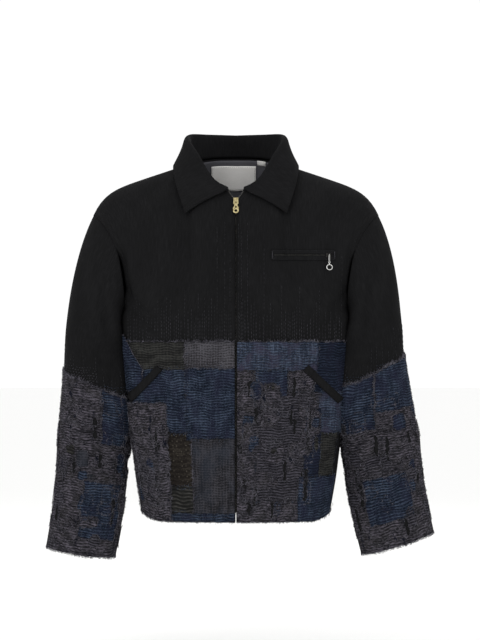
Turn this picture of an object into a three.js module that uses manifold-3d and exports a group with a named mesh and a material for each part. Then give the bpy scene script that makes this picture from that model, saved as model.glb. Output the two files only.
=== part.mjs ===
// A boxy zip-front jacket with a patchwork lower half, hollow and open as when it is worn.
// Millimetres, +Z up. The front faces -Y and the wearer's left side is at +X.
// The origin is the middle of the neck, level with the top of the shoulder seams.
import * as THREE from 'three';
import { mergeVertices } from 'three/addons/utils/BufferGeometryUtils.js';
import Module from 'manifold-3d';

const wasm = await Module();
wasm.setup();

// ---------------------------------------------------------------- driving sizes

const seamGap = 0.3; // between neighbouring pieces
const cloth = { panel: 2, patch: 1, facing: 1, label: 0.6, tape: 0.8 }; // wall thicknesses

const body = {
  hem: -611, // height of the bottom edge
  armpit: -262,
  middle: 5, // y of the side seams and the shoulder seams
  hemHalfWidth: 165,
  chestHalfWidth: 205,
  hemFront: 142, // how far the front stands from the side seam
  chestFront: 136,
  hemBack: 118,
  chestBack: 128,
  squareness: 2.5, // 2 is an ellipse and more is boxier
  flarePower: 0.85, // under 1 widens the body soon above the hem
};

const neck = {
  halfWidth: 80,
  sideHeight: 8,
  frontHeight: -44,
  frontDepth: 93,
  frontPower: 1.3, // how late the neckline leaves the level of its middle
  backHeight: 21,
  backDepth: 77,
  backPower: 3,
};

const shoulder = {
  tipX: 250,
  tipHeight: -83,
  straightShare: 0.62, // of the fall along the seam, and the rest is the round at its end
  roundPower: 9,
};

const armhole = {
  sideX: 200, // the seam swings in towards the chest at the front and the back
  bottomX: 205,
  frontDepth: 80,
  backDepth: 90,
  topPower: 0.85, // under 1 flattens the top of the curve
  swingPower: 1.4,
};

// Each sleeve hangs by its own middle line, which the elbow and the cuff set a little differently.
const sleeveForms = {
  right: {
    upperArm: { x: 252, y: 0, z: -322, wide: 48, deep: 66, tilt: 9 },
    elbow: { x: 249, y: -2, z: -478, wide: 62, deep: 50, tilt: 8 },
    cuff: { x: 270, y: -22, z: -667, wide: 60, deep: 33, tilt: 8.5 },
  },
  left: {
    upperArm: { x: 247, y: 0, z: -322, wide: 45, deep: 66, tilt: 9 },
    elbow: { x: 254, y: -4, z: -486, wide: 68, deep: 50, tilt: 12 },
    cuff: { x: 281, y: -24, z: -652, wide: 65, deep: 33, tilt: 17 },
  },
};
const sleeveRings = { head: 5, upper: 3, lower: 4 };
const sleeveHead = {
  gap: 1.2, // off the armhole
  outerLeave: 0.42, // how far outwards the cloth leaves the seam, for each 0.8 downwards
  innerLeave: 0.4,
  sag: 4, // how far the arm's middle line bows in between two forms
};

const zip = {
  edge: 2, // half the slit between the two fronts
  openWidth: 13, // extra half width where the fronts part at the neck
  openFrom: -66,
  sliderHeight: -62,
  bottom: 14, // the zip's foot above the hem
  top: -47,
  toothWidth: 1.4,
  toothDepth: 2.4,
  toothInset: 0.8, // behind the cloth's outer face
  tapeWidth: 15,
};

// ---------------------------------------------------------------- small helpers

const vec = (x, y, z) => new THREE.Vector3(x, y, z);
const mix = THREE.MathUtils.lerp;
const rad = THREE.MathUtils.degToRad;
const steps = (n, from = 0, to = 1) => Array.from({ length: n + 1 }, (_, i) => mix(from, to, i / n));
const bump = (x, centre, width) => Math.exp(-(((x - centre) / width) ** 2));
const bell = (s) => (s <= 0 ? 0 : s >= 1 ? 1 : s * s * (3 - 2 * s));

const paint = (color, roughness = 0.9, metalness = 0) =>
  new THREE.MeshStandardMaterial({ color, roughness, metalness });
const blackDenim = paint('#1c1c1d');
const navy = paint('#2a303c');
const grey = paint('#323236');
const olive = paint('#262626');
const lining = paint('#3f3f44');
const whiteTape = paint('#d8d6d2', 0.7);
const brass = paint('#c9b36a', 0.3, 1);
const silver = paint('#c8c8c8', 0.25, 1);

const jacket = new THREE.Group();

function add(name, geometry, material, group = jacket) {
  const mesh = new THREE.Mesh(geometry, material);
  mesh.name = name;
  group.add(mesh);
  return mesh;
}

// A closed wall between two grids of points, outer[row][column] and inner[row][column].
// Where `round` is true the last column joins the first, as in a tube.
function wall(outer, inner, round = false) {
  const rows = outer.length;
  const columns = outer[0].length;
  const points = [...outer.flat(), ...inner.flat()];
  const index = [];
  const out = (r, c) => r * columns + (c % columns);
  const into = (r, c) => rows * columns + out(r, c);
  const quad = (a, b, c, d) => index.push(a, b, c, a, c, d);
  const spans = round ? columns : columns - 1;
  for (let r = 0; r < rows - 1; r++) {
    for (let c = 0; c < spans; c++) {
      quad(out(r, c), out(r, c + 1), out(r + 1, c + 1), out(r + 1, c));
      quad(into(r, c), into(r + 1, c), into(r + 1, c + 1), into(r, c + 1));
    }
  }
  for (let c = 0; c < spans; c++) {
    quad(out(0, c), into(0, c), into(0, c + 1), out(0, c + 1));
    quad(out(rows - 1, c), out(rows - 1, c + 1), into(rows - 1, c + 1), into(rows - 1, c));
  }
  for (let r = 0; r < rows - 1 && !round; r++) {
    quad(out(r, 0), out(r + 1, 0), into(r + 1, 0), into(r, 0));
    const last = columns - 1;
    quad(out(r, last), into(r, last), into(r + 1, last), out(r + 1, last));
  }
  const geometry = new THREE.BufferGeometry().setFromPoints(points);
  geometry.setIndex(index);
  return facingOut(geometry);
}

// Turns a closed mesh's faces round if they point inwards.
function facingOut(geometry) {
  const p = geometry.getAttribute('position');
  const index = geometry.getIndex().array;
  const [a, b, c] = [vec(), vec(), vec()];
  let volume = 0;
  for (let i = 0; i < index.length; i += 3) {
    a.fromBufferAttribute(p, index[i]);
    b.fromBufferAttribute(p, index[i + 1]);
    c.fromBufferAttribute(p, index[i + 2]);
    volume += a.dot(b.cross(c));
  }
  for (let i = 0; volume < 0 && i < index.length; i += 3) {
    [index[i + 1], index[i + 2]] = [index[i + 2], index[i + 1]];
  }
  return geometry;
}

// The unit normals at a grid's points, from the triangles round each.
function normalsOf(grid, round = false) {
  const columns = grid[0].length;
  const normals = grid.map((row) => row.map(() => vec(0, 0, 0)));
  for (let r = 0; r < grid.length - 1; r++) {
    for (let c = 0; c < (round ? columns : columns - 1); c++) {
      const corners = [[r, c], [r, (c + 1) % columns], [r + 1, (c + 1) % columns], [r + 1, c]];
      const [a, b, d, e] = corners.map(([i, j]) => grid[i][j]);
      const face = vec(0, 0, 0).subVectors(d, a).cross(vec(0, 0, 0).subVectors(e, b));
      for (const [i, j] of corners) normals[i][j].add(face);
    }
  }
  return normals.map((row) => row.map((n) => n.normalize()));
}

const moved = (grid, normals, distance) =>
  grid.map((row, r) => row.map((p, c) => p.clone().addScaledVector(normals[r][c], distance)));

// ---------------------------------------------------------------- the body's form

const riseOf = (z) => (z - body.hem) / (body.armpit - body.hem);
const halfWidth = (z) => mix(body.hemHalfWidth, body.chestHalfWidth, riseOf(z) ** body.flarePower);

// The middle of a front or the back: straight up to the armpit, then in towards the neck.
const frontPower = 2.2;
const backPower = 2.4;
function centreFront(z) {
  if (z <= body.armpit) return body.middle - mix(body.hemFront, body.chestFront, riseOf(z));
  const climb = (z - body.armpit) / (neck.frontHeight - body.armpit);
  return body.middle - mix(body.chestFront, neck.frontDepth, climb ** frontPower);
}
function centreBack(z) {
  if (z <= body.armpit) return body.middle + mix(body.hemBack, body.chestBack, riseOf(z));
  const climb = (z - body.armpit) / (neck.backHeight - body.armpit);
  return body.middle + mix(body.chestBack, neck.backDepth, climb ** backPower);
}

// The fronts part above the slider.
const frontEdge = (z) =>
  zip.edge + zip.openWidth * bell((z - zip.openFrom) / (neck.frontHeight + 2 - zip.openFrom));

function armholePoint(angle, depth) {
  const c = Math.cos(angle);
  const s = Math.sin(angle);
  const high = (shoulder.tipHeight - body.armpit) / 2;
  const straight = mix(armhole.bottomX, shoulder.tipX, (1 + c) / 2);
  const swing = (armhole.bottomX + shoulder.tipX) / 2 - armhole.sideX;
  return vec(
    straight - swing * Math.abs(s) ** armhole.swingPower,
    body.middle + depth * s,
    body.armpit + high + high * Math.sign(c) * Math.abs(c) ** armhole.topPower,
  );
}

// One half of the front or the back is a net of rows, each from the centre out to the side seam or
// the armhole. `level` is 0 at the hem, 1 at the armpit and 2 along the neck and the shoulder seam.
const halves = {
  front: {
    face: -1,
    centre: centreFront,
    neckTop: neck.frontHeight,
    neckDepth: neck.frontDepth,
    neckPower: neck.frontPower,
    armDepth: armhole.frontDepth,
    columns: 8,
    upperRows: 8,
    neckColumns: 3,
    chestFullness: 15,
  },
  back: {
    face: 1,
    centre: centreBack,
    neckTop: neck.backHeight,
    neckDepth: neck.backDepth,
    neckPower: neck.backPower,
    armDepth: armhole.backDepth,
    columns: 7,
    upperRows: 7,
    neckColumns: 3,
    chestFullness: 11,
  },
};

// The soft flutes in which the cloth hangs from the chest to the hem, by shares of a row's length.
const flute = { ridge: 5, ridgeAt: 0.5, ridgeWidth: 0.1, trough: 4, troughAt: 0.68, troughWidth: 0.08 };
function flutes(share, level) {
  const ridge = flute.ridge * bump(share, flute.ridgeAt, flute.ridgeWidth);
  const trough = flute.trough * bump(share, flute.troughAt, flute.troughWidth);
  return bell(1 - level) * (ridge - trough);
}

// A level row below the armpit: a quarter of a squared ellipse, by shares of its length.
function lowerRow(half, level) {
  const z = mix(body.hem, body.armpit, level);
  const [width, middle, depth] = [halfWidth(z), body.middle, half.centre(z) - body.middle];
  const power = 2 / body.squareness;
  const line = new THREE.CatmullRomCurve3(
    steps(24).map((k) => {
      const angle = (k * Math.PI) / 2;
      return vec(width * Math.sin(angle) ** power, middle + depth * Math.cos(angle) ** power, z);
    }),
  );
  return {
    length: line.getLength(),
    at: (share) => line.getPointAt(share).add(vec(0, half.face * flutes(share, level), 0)),
  };
}

// The top edge: the neckline as far as the shoulder's inner end, then the shoulder seam.
function topEdge(half, share, neckShare) {
  if (share < neckShare) {
    const angle = ((share / neckShare) * Math.PI) / 2;
    const along = Math.sin(angle);
    return vec(
      neck.halfWidth * along,
      body.middle + half.face * half.neckDepth * Math.cos(angle),
      mix(half.neckTop, neck.sideHeight, along ** half.neckPower),
    );
  }
  const x = (share - neckShare) / (1 - neckShare);
  const fall = shoulder.straightShare * x + (1 - shoulder.straightShare) * x ** shoulder.roundPower;
  const height = mix(neck.sideHeight, shoulder.tipHeight, fall);
  return vec(mix(neck.halfWidth, shoulder.tipX, x), body.middle, height);
}

// Above the armpit the cloth is spread between the row at the armpit, the top edge, the centre line
// and the armhole, and it is fuller where the chest and the shoulder blades are.
const fullForward = 0.8;
const fullUp = 0.5;
function upperPoint(half, q, share, chest, neckShare) {
  const centreAt = (k) => {
    const z = mix(body.armpit, half.neckTop, k);
    return vec(0, half.centre(z), z);
  };
  const armAt = (k) => armholePoint(Math.PI * (1 - k), half.face * half.armDepth);
  const p = chest.at(share).multiplyScalar(1 - q);
  p.addScaledVector(topEdge(half, share, neckShare), q);
  const ends = [[centreAt, 1 - share], [armAt, share]];
  for (const [line, weight] of ends) {
    p.addScaledVector(line(q), weight);
    p.addScaledVector(line(0), -weight * (1 - q));
    p.addScaledVector(line(1), -weight * q);
  }
  const full = half.chestFullness * Math.sin(Math.PI * q ** 1.5) * Math.sin(Math.PI * share);
  return p.add(vec(0, half.face * fullForward * full, fullUp * full));
}

// ---------------------------------------------------------------- the body's panels

const lowerRows = 10;
const seamShare = 0.0006; // keeps the top rows half a seam gap off the shoulder seam

function halfGrid(name, sideSign) {
  const half = halves[name];
  const chest = lowerRow(half, 1);
  const startOf = (z, length) => (name === 'front' ? frontEdge(z) / length : 0);
  const sharesFrom = (start, end) => steps(half.columns, start, end);
  const rows = steps(lowerRows).map((level) => {
    const row = lowerRow(half, level);
    const start = startOf(mix(body.hem, body.armpit, level), row.length);
    return sharesFrom(start, 1 - seamGap / 2 / row.length).map(row.at);
  });
  const topStart = startOf(half.neckTop, chest.length);
  const neckShare = mix(topStart, 1, half.neckColumns / half.columns);
  for (const step of steps(half.upperRows).slice(1)) {
    const q = step === 1 ? 1 - seamShare : step;
    const start = startOf(mix(body.armpit, half.neckTop, q), chest.length);
    rows.push(sharesFrom(start, 1).map((share) => upperPoint(half, q, share, chest, neckShare)));
  }
  return rows.map((row) => row.map((p) => vec(p.x * sideSign, p.y, p.z)));
}

// A sewn panel is its net of points and the normals that point away from the wearer.
const netOf = (grid, round = false) => ({ grid, normals: normalsOf(grid, round), round });

const nets = {
  frontRight: netOf(halfGrid('front', -1).map((row) => row.reverse())),
  frontLeft: netOf(halfGrid('front', 1)),
};
const backLeft = halfGrid('back', 1);
const backRight = halfGrid('back', -1);
nets.back = netOf(backLeft.map((row, r) => [...row.slice(1).reverse(), ...backRight[r]]));

// ---------------------------------------------------------------- the sleeves' form

// Soft ridges down a sleeve, and troughs where the height is negative: `turn` runs from 0 outside
// to 1 inside and `v` from 0 at the armhole to 1 at the cuff. Each has its height in front and at
// the back, its turn and that turn's reach, and its v and that v's reach.
const folds = [
  { front: -6, back: -6, turn: 0.66, around: 0.1, v: 0.3, along: 0.2 },
  { front: 3, back: 6, turn: 0.45, around: 0.3, v: 0.62, along: 0.05 },
  { front: -3, back: -6, turn: 0.45, around: 0.3, v: 0.7, along: 0.04 },
  { front: 3, back: 0, turn: 0.55, around: 0.25, v: 0.86, along: 0.03 },
  { front: -3, back: 0, turn: 0.55, around: 0.25, v: 0.8, along: 0.03 },
];
const sleeveFolds = (turn, face, v) =>
  folds.reduce((sum, fold) => {
    const height = face < 0 ? fold.front : fold.back;
    return sum + height * bump(turn, fold.turn, fold.around) * bump(v, fold.v, fold.along);
  }, 0);

function sleeveSection(form, turn, face) {
  const c = Math.cos(Math.PI * turn);
  const s = Math.sin(Math.PI * turn);
  const tilt = rad(form.tilt);
  return vec(
    form.x + form.wide * c * Math.cos(tilt),
    form.y + face * form.deep * s,
    form.z + form.wide * c * Math.sin(tilt),
  );
}

const blendForms = (a, b, t) =>
  Object.fromEntries(Object.keys(a).map((key) => [key, mix(a[key], b[key], t)]));

// The points round the armhole, from the top down the front and up the back.
const ringTurns = [
  ...steps(halves.front.upperRows).map((turn) => ({ turn, face: -1 })),
  ...steps(halves.back.upperRows, 1, 0).slice(1, -1).map((turn) => ({ turn, face: 1 })),
];

// The line down the sleeve's head at one turn, from the armhole to the upper arm.
function headLine(upperArm, turn, face) {
  const half = face < 0 ? halves.front : halves.back;
  const from = armholePoint(Math.PI * turn, face * half.armDepth);
  from.x += sleeveHead.gap;
  const to = sleeveSection(upperArm, turn, face);
  const reach = from.distanceTo(to);
  const outwards = mix(sleeveHead.innerLeave, sleeveHead.outerLeave, (1 + Math.cos(Math.PI * turn)) / 2);
  const a = from.clone().addScaledVector(vec(outwards, face * 0.05, -0.8), reach / 3);
  const b = to.clone().add(vec(-1, 0, reach / 4));
  return new THREE.CubicBezierCurve3(from, a, b, to);
}

function sleeveNet(side, sideSign) {
  const { upperArm, elbow, cuff } = sleeveForms[side];
  const rings = steps(sleeveRings.head).map((t) =>
    ringTurns.map(({ turn, face }) => headLine(upperArm, turn, face).getPoint(t)),
  );
  const spans = [
    [upperArm, elbow, sleeveRings.upper, sleeveHead.sag / 2],
    [elbow, cuff, sleeveRings.lower, sleeveHead.sag],
  ];
  for (const [from, to, count, sag] of spans) {
    for (const t of steps(count).slice(1)) {
      const form = blendForms(from, to, t);
      form.x -= sag * Math.sin(Math.PI * t);
      rings.push(ringTurns.map(({ turn, face }) => sleeveSection(form, turn, face)));
    }
  }
  const plain = netOf(rings, true);
  const last = rings.length - 1;
  const folded = rings.map((ring, r) =>
    ring.map((p, k) => {
      const depth = sleeveFolds(ringTurns[k].turn, ringTurns[k].face, r / last);
      return p.clone().addScaledVector(plain.normals[r][k], depth);
    }),
  );
  const turned = folded.map((ring) => ring.map((p) => vec(p.x * sideSign, p.y, p.z)));
  return netOf(sideSign > 0 ? turned : turned.map((ring) => ring.reverse()), true);
}

nets.sleeveRight = sleeveNet('right', -1);
nets.sleeveLeft = sleeveNet('left', 1);

// ---------------------------------------------------------------- seams share their normals

// The walls of the pieces that meet along a seam lean the same way there, so that they never cross.
const flatten = (normal) => normal.setY(0).normalize();
const sideColumns = { frontLeft: [-1], frontRight: [0], back: [0, -1] };
for (const [name, columns] of Object.entries(sideColumns)) {
  const { grid, normals } = nets[name];
  for (const row of normals.slice(0, lowerRows + 1)) columns.forEach((c) => flatten(row.at(c)));
  const isSeam = (p) => name !== 'back' || Math.abs(p.x) >= neck.halfWidth;
  normals.at(-1).filter((_, c) => isSeam(grid.at(-1)[c])).forEach(flatten);
}

const seamReach = 2; // points of neighbouring pieces this close are one place on the seam
function shareArmhole(front, frontColumn, back, backColumn, sleeve) {
  const pieces = [[front, frontColumn], [back, backColumn]].flatMap(([net, column]) =>
    net.grid.slice(lowerRows).map((row, r) => ({
      point: row.at(column),
      normal: net.normals[lowerRows + r].at(column),
    })),
  );
  sleeve.grid[0].forEach((p, k) => {
    const near = pieces.filter((piece) => piece.point.distanceTo(p) < seamReach);
    const shared = near.reduce((sum, piece) => sum.add(piece.normal), sleeve.normals[0][k].clone());
    shared.normalize();
    [...near.map((piece) => piece.normal), sleeve.normals[0][k]].forEach((n) => n.copy(shared));
  });
}
shareArmhole(nets.frontLeft, -1, nets.back, 0, nets.sleeveLeft);
shareArmhole(nets.frontRight, 0, nets.back, -1, nets.sleeveRight);

const wallOf = (net, thickness, lift = 0) =>
  wall(moved(net.grid, net.normals, lift), moved(net.grid, net.normals, lift - thickness), net.round);

add('front_right', wallOf(nets.frontRight, cloth.panel), blackDenim);
add('front_left', wallOf(nets.frontLeft, cloth.panel), blackDenim);
add('back', wallOf(nets.back, cloth.panel), blackDenim);
add('sleeve_right', wallOf(nets.sleeveRight, cloth.panel), blackDenim);
add('sleeve_left', wallOf(nets.sleeveLeft, cloth.panel), blackDenim);

// ---------------------------------------------------------------- places on the cloth

// The point and the normal at a fractional row and column of a net, on its own triangles.
function sample(net, row, column) {
  const count = net.grid[0].length;
  const r = Math.min(Math.floor(row), net.grid.length - 2);
  const c = net.round ? Math.floor(column) : Math.min(Math.floor(column), count - 2);
  const [c0, c1] = [c, c + 1].map((k) => ((k % count) + count) % count);
  const [i, j] = [row - r, column - c];
  const blend = (field) => {
    const [near, far] = [field[r][c0], field[r + 1][c1]];
    const third = i > j ? field[r + 1][c0] : field[r][c1];
    const [low, high] = [Math.min(i, j), Math.max(i, j)];
    return near.clone().multiplyScalar(1 - high).addScaledVector(third, high - low).addScaledVector(far, low);
  };
  return { point: blend(net.grid), normal: blend(net.normals).normalize() };
}

// The place on a front or back panel that lies at x and z, seen from straight ahead, if there is one.
const edgeTolerance = 1e-6;
function spot(net, x, z) {
  for (let r = 0; r < net.grid.length - 1; r++) {
    for (let c = 0; c < net.grid[0].length - 1; c++) {
      const [a, b, d, e] = [net.grid[r][c], net.grid[r][c + 1], net.grid[r + 1][c + 1], net.grid[r + 1][c]];
      for (const [p, q, w] of [[a, b, d], [a, d, e]]) {
        const area = (q.x - p.x) * (w.z - p.z) - (w.x - p.x) * (q.z - p.z);
        const i = ((x - p.x) * (w.z - p.z) - (w.x - p.x) * (z - p.z)) / area;
        const j = ((q.x - p.x) * (z - p.z) - (x - p.x) * (q.z - p.z)) / area;
        if (Math.min(i, j, 1 - i - j) < -edgeTolerance) continue;
        const y = p.y + i * (q.y - p.y) + j * (w.y - p.y);
        const normal = vec(0, 0, 0).subVectors(q, p).cross(vec(0, 0, 0).subVectors(w, p)).normalize();
        return { point: vec(x, y, z), normal };
      }
    }
  }
  return undefined;
}
const lifted = ({ point, normal }, distance) => point.clone().addScaledVector(normal, distance);

// The net's own lines between two fractional positions, with the two ends themselves. Where the
// net is strongly curved, `fine` puts more lines between its own.
function linesBetween(from, to, fine) {
  const inside = [];
  for (let k = Math.ceil((from + 0.05) * fine); k < (to - 0.05) * fine; k++) inside.push(k / fine);
  return [from, ...inside, to];
}

// A flat piece sewn on a net between two rows and two columns.
function layOn(net, rows, columns, lift, thickness, fine = 1) {
  const at = (distance) =>
    linesBetween(...rows, fine).map((row) =>
      linesBetween(...columns, fine).map((column) => lifted(sample(net, row, column), distance)),
    );
  return wall(at(lift + thickness), at(lift));
}

const rowAt = (z) => ((z - body.hem) / (body.armpit - body.hem)) * lowerRows;
function columnAt(net, x) {
  const xs = net.grid[lowerRows / 2].map((p) => p.x);
  const c = xs.findIndex((v, i) => i < xs.length - 1 && (v - x) * (xs[i + 1] - x) <= 0);
  return c + (x - xs[c]) / (xs[c + 1] - xs[c]);
}

// ---------------------------------------------------------------- the patches of the body

const patchLift = 0.9;
const topPatchLift = 2.7; // for one that laps over its neighbours

// Each patch: its panel, its reach from x to x and from z to z in millimetres, and its cloth.
const bodyPatches = {
  patch_right_side_navy: ['frontRight', [-185, -171], [-385, -295], navy],
  patch_right_striped: ['frontRight', [-170, -83], [-349, -305], olive],
  patch_right_grey: ['frontRight', [-82, -7], [-346, -305], grey],
  patch_right_navy: ['frontRight', [-170, -83], [-458, -350], navy],
  patch_right_quilted_navy: ['frontRight', [-82, -7], [-469, -347], navy],
  patch_right_frayed: ['frontRight', [-178, -118], [-606, -411], grey, topPatchLift],
  patch_right_dotted: ['frontRight', [-117, -83], [-551, -459], olive],
  patch_right_ribbed: ['frontRight', [-117, -83], [-594, -552], olive],
  patch_right_check: ['frontRight', [-82, -7], [-594, -470], grey],
  patch_right_hem_navy: ['frontRight', [-117, -7], [-608, -595], navy],
  patch_left_navy: ['frontLeft', [7, 88], [-345, -305], navy],
  patch_left_column: ['frontLeft', [7, 34], [-573, -346], grey],
  patch_left_small_navy: ['frontLeft', [35, 83], [-390, -346], navy],
  patch_left_frayed: ['frontLeft', [89, 118], [-390, -305], grey],
  patch_left_quilted: ['frontLeft', [35, 140], [-573, -391], grey],
  patch_left_side_navy: ['frontLeft', [119, 185], [-390, -305], navy],
  patch_left_dark_column: ['frontLeft', [119, 140], [-535, -419], navy, topPatchLift],
  patch_left_speckled: ['frontLeft', [141, 182], [-457, -391], navy],
  patch_left_olive: ['frontLeft', [141, 174], [-534, -458], olive],
  patch_left_hem_navy: ['frontLeft', [112, 174], [-608, -536], navy, topPatchLift],
  patch_left_hem_grey: ['frontLeft', [7, 111], [-608, -574], grey],
  patch_back_upper_left: ['back', [62, 185], [-418, -305], navy],
  patch_back_upper_middle: ['back', [-67, 61], [-378, -305], grey],
  patch_back_upper_right: ['back', [-185, -68], [-400, -305], olive],
  patch_back_lower_left: ['back', [52, 165], [-608, -419], grey],
  patch_back_lower_middle: ['back', [-59, 51], [-608, -379], navy],
  patch_back_lower_right: ['back', [-165, -60], [-608, -401], grey],
};

for (const [name, [panel, xs, zs, material, lift = patchLift]] of Object.entries(bodyPatches)) {
  const net = nets[panel];
  const columns = xs.map((x) => columnAt(net, x)).sort((a, b) => a - b);
  add(name, layOn(net, zs.map(rowAt), columns, lift, cloth.patch), material);
}

// ---------------------------------------------------------------- the patches of the sleeves

// Rows count down from the armhole; columns count from the outer edge (0) round the front to the
// inner edge (8).
const sleevePatches = {
  patch_sleeve_right_upper: ['sleeveRight', [5.5, 7.4], [0.2, 4.6], grey],
  patch_sleeve_right_inner: ['sleeveRight', [6, 8], [4.7, 7.4], navy],
  patch_sleeve_right_lower: ['sleeveRight', [9.4, 11.4], [3.6, 6.6], navy],
  patch_sleeve_left_outer: ['sleeveLeft', [5.4, 6.9], [0.2, 4.3], navy],
  patch_sleeve_left_inner: ['sleeveLeft', [5.6, 7.4], [4.4, 7], navy],
  patch_sleeve_left_lower: ['sleeveLeft', [9.2, 11], [2.4, 5.6], navy],
};
for (const [name, [sleeve, rows, columns, material]] of Object.entries(sleevePatches)) {
  const mirroredColumns = columns.map((c) => ringTurns.length - 1 - c).reverse();
  const across = sleeve === 'sleeveRight' ? mirroredColumns : columns;
  add(name, layOn(nets[sleeve], rows, across, patchLift, cloth.patch), material);
}

// ---------------------------------------------------------------- the collar

// Half curves from the centre back, past the side of the neck, to the front: where the collar folds
// over, and where the edge of its leaf lies on the cloth.
const collar = {
  fold: [
    [0, 82, 60],
    [48, 75, 61],
    [79, 48, 60],
    [85, 5, 50],
    [69, -40, 24],
    [44, -77, -16],
    [16, -98, -37],
  ],
  leafEdge: [
    ['back', 0, -10],
    ['back', 50, -10],
    ['back', 88, -7],
    null, // over the shoulder seam
    ['frontLeft', 105, -22],
    ['frontLeft', 98, -54],
    ['frontLeft', 81, -86],
  ],
  shoulderEdge: [106, 10, 7],
  leafLift: 8,
  leafBulge: 1.6,
  foldRadius: 3.2,
  footLift: 2,
  endAt: 0.95, // the share of the neckline where the collar's foot ends
  columns: 9,
};

function neckSeam(t) {
  const angle = Math.PI * Math.min(t, collar.endAt);
  const [s, c] = [Math.sin(angle), Math.cos(angle)];
  const half = c > 0 ? halves.back : halves.front;
  const height = mix(half.neckTop, neck.sideHeight, s ** half.neckPower);
  return vec(neck.halfWidth * s, body.middle + half.neckDepth * c, height);
}
const leafPoint = (place) =>
  place ? lifted(spot(nets[place[0]], place[1], place[2]), collar.leafLift) : vec(...collar.shoulderEdge);
const foldCurve = new THREE.CatmullRomCurve3(collar.fold.map((p) => vec(...p)));
const leafCurve = new THREE.CatmullRomCurve3(collar.leafEdge.map(leafPoint));

// Moves a point of the leaf forward or back where the cloth under it would touch it.
function clearOfCloth(p) {
  const face = p.y < body.middle ? -1 : 1;
  const under = spot(face < 0 ? nets.frontLeft : nets.back, p.x, p.z);
  if (!under) return p;
  const least = lifted(under, collar.leafLift);
  return face * p.y < face * least.y ? p.setY(least.y) : p;
}

// One column of the collar: up its stand, over the fold and down the leaf.
function collarColumn(t) {
  const seam = neckSeam(t);
  const fold = foldCurve.getPoint(t);
  const edge = leafCurve.getPoint(t);
  const outward = vec(edge.x - seam.x, edge.y - seam.y, 0);
  const atBack = outward.length() < 8 || t < 0.2;
  if (atBack) outward.set(seam.x, Math.max(seam.y, 20), 0);
  outward.normalize().multiplyScalar(collar.foldRadius);
  const drop = vec(0, 0, collar.foldRadius);
  const foot = seam.clone().add(vec(0, 0, collar.footLift)).addScaledVector(outward, 0.5);
  const standTop = fold.clone().sub(outward).sub(drop);
  const leafTop = fold.clone().add(outward).sub(drop);
  const leaf = steps(4).slice(1).map((k) => {
    const bulge = collar.leafBulge * Math.sin(Math.PI * k);
    return clearOfCloth(leafTop.clone().lerp(edge, k).addScaledVector(outward, bulge));
  });
  return [foot, foot.clone().lerp(standTop, 0.5), standTop, fold, leafTop, ...leaf];
}
const collarHalf = steps(collar.columns).map(collarColumn);
const mirrored = (column) => column.map((p) => vec(-p.x, p.y, p.z));
const collarColumns = [...collarHalf.slice(1).map(mirrored).reverse(), ...collarHalf];
const collarGrid = collarHalf[0].map((_, j) => collarColumns.map((column) => column[j])).reverse();
const collarNet = netOf(collarGrid);
const awayFromNeck = collarNet.normals[0][collar.columns].y > 0 ? -1 : 1;
const collarOuter = moved(collarGrid, collarNet.normals, awayFromNeck * cloth.panel);
add('collar', wall(collarGrid, collarOuter), blackDenim);

// ---------------------------------------------------------------- inside the back of the neck

// Rows and columns of the back's net, and how far each piece lies under its outer face.
const neckPieces = {
  back_neck_facing: [[15.5, 16.94], [4.2, 9.8], -3.8, cloth.facing, lining],
  neck_label: [[15.62, 16.64], [6.03, 8.24], -5.8, cloth.label, whiteTape],
  size_tab: [[16.7, 16.93], [5.62, 6.08], -5.8, cloth.label, whiteTape],
};
for (const [name, [rows, columns, lift, thickness, material]] of Object.entries(neckPieces)) {
  add(name, layOn(nets.back, rows, columns, lift, thickness, 2), material);
}

// ---------------------------------------------------------------- the front zip

const zipHeights = [
  ...steps(5, body.hem + zip.bottom, body.armpit),
  ...steps(4, body.armpit, zip.openFrom).slice(1),
  ...steps(3, zip.openFrom, zip.top).slice(1),
];

// The teeth are one strip along each front's edge, in the slit between the two.
function teethStrip(sideSign) {
  const at = (depth) =>
    zipHeights.map((z) => {
      const edge = frontEdge(z) - zip.edge;
      const ends = [edge + seamGap / 2, edge + seamGap / 2 + zip.toothWidth];
      const row = ends.map((x) => vec(sideSign * x, centreFront(z) + depth, z));
      return sideSign > 0 ? row : row.reverse();
    });
  return wall(at(zip.toothInset), at(zip.toothInset + zip.toothDepth));
}

const tapeRows = [rowAt(body.hem + zip.bottom), lowerRows + halves.front.upperRows - 0.3];
const [chestFirst, chestSecond] = nets.frontLeft.grid[lowerRows];
const tapeColumns = zip.tapeWidth / chestFirst.distanceTo(chestSecond);
for (const [name, sideSign] of [['right', -1], ['left', 1]]) {
  const net = sideSign > 0 ? nets.frontLeft : nets.frontRight;
  const last = halves.front.columns;
  const columns = sideSign > 0 ? [0, tapeColumns] : [last - tapeColumns, last];
  const lift = -cloth.panel - 2 * seamGap - cloth.tape;
  add(`zip_tape_${name}`, layOn(net, tapeRows, columns, lift, cloth.tape, 2), blackDenim);
  add(`zip_teeth_${name}`, teethStrip(sideSign), brass);
}

// ---------------------------------------------------------------- sliders and pulls

function solidOf(geometry) {
  const plain = geometry.clone();
  ['normal', 'uv'].forEach((name) => plain.deleteAttribute(name));
  const merged = mergeVertices(plain, 1e-4);
  return new wasm.Manifold(
    new wasm.Mesh({
      numProp: 3,
      vertProperties: merged.getAttribute('position').array,
      triVerts: new Uint32Array(merged.getIndex().array),
    }),
  );
}
function joined(geometries) {
  const mesh = geometries.map(solidOf).reduce((sum, part) => sum.add(part)).getMesh();
  const geometry = new THREE.BufferGeometry();
  geometry.setAttribute('position', new THREE.BufferAttribute(mesh.vertProperties, 3));
  geometry.setIndex(new THREE.BufferAttribute(mesh.triVerts, 1));
  return geometry;
}
const block = (width, depth, height, x = 0, y = 0, z = 0) =>
  new THREE.BoxGeometry(width, depth, height).translate(x, y, z);

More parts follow.
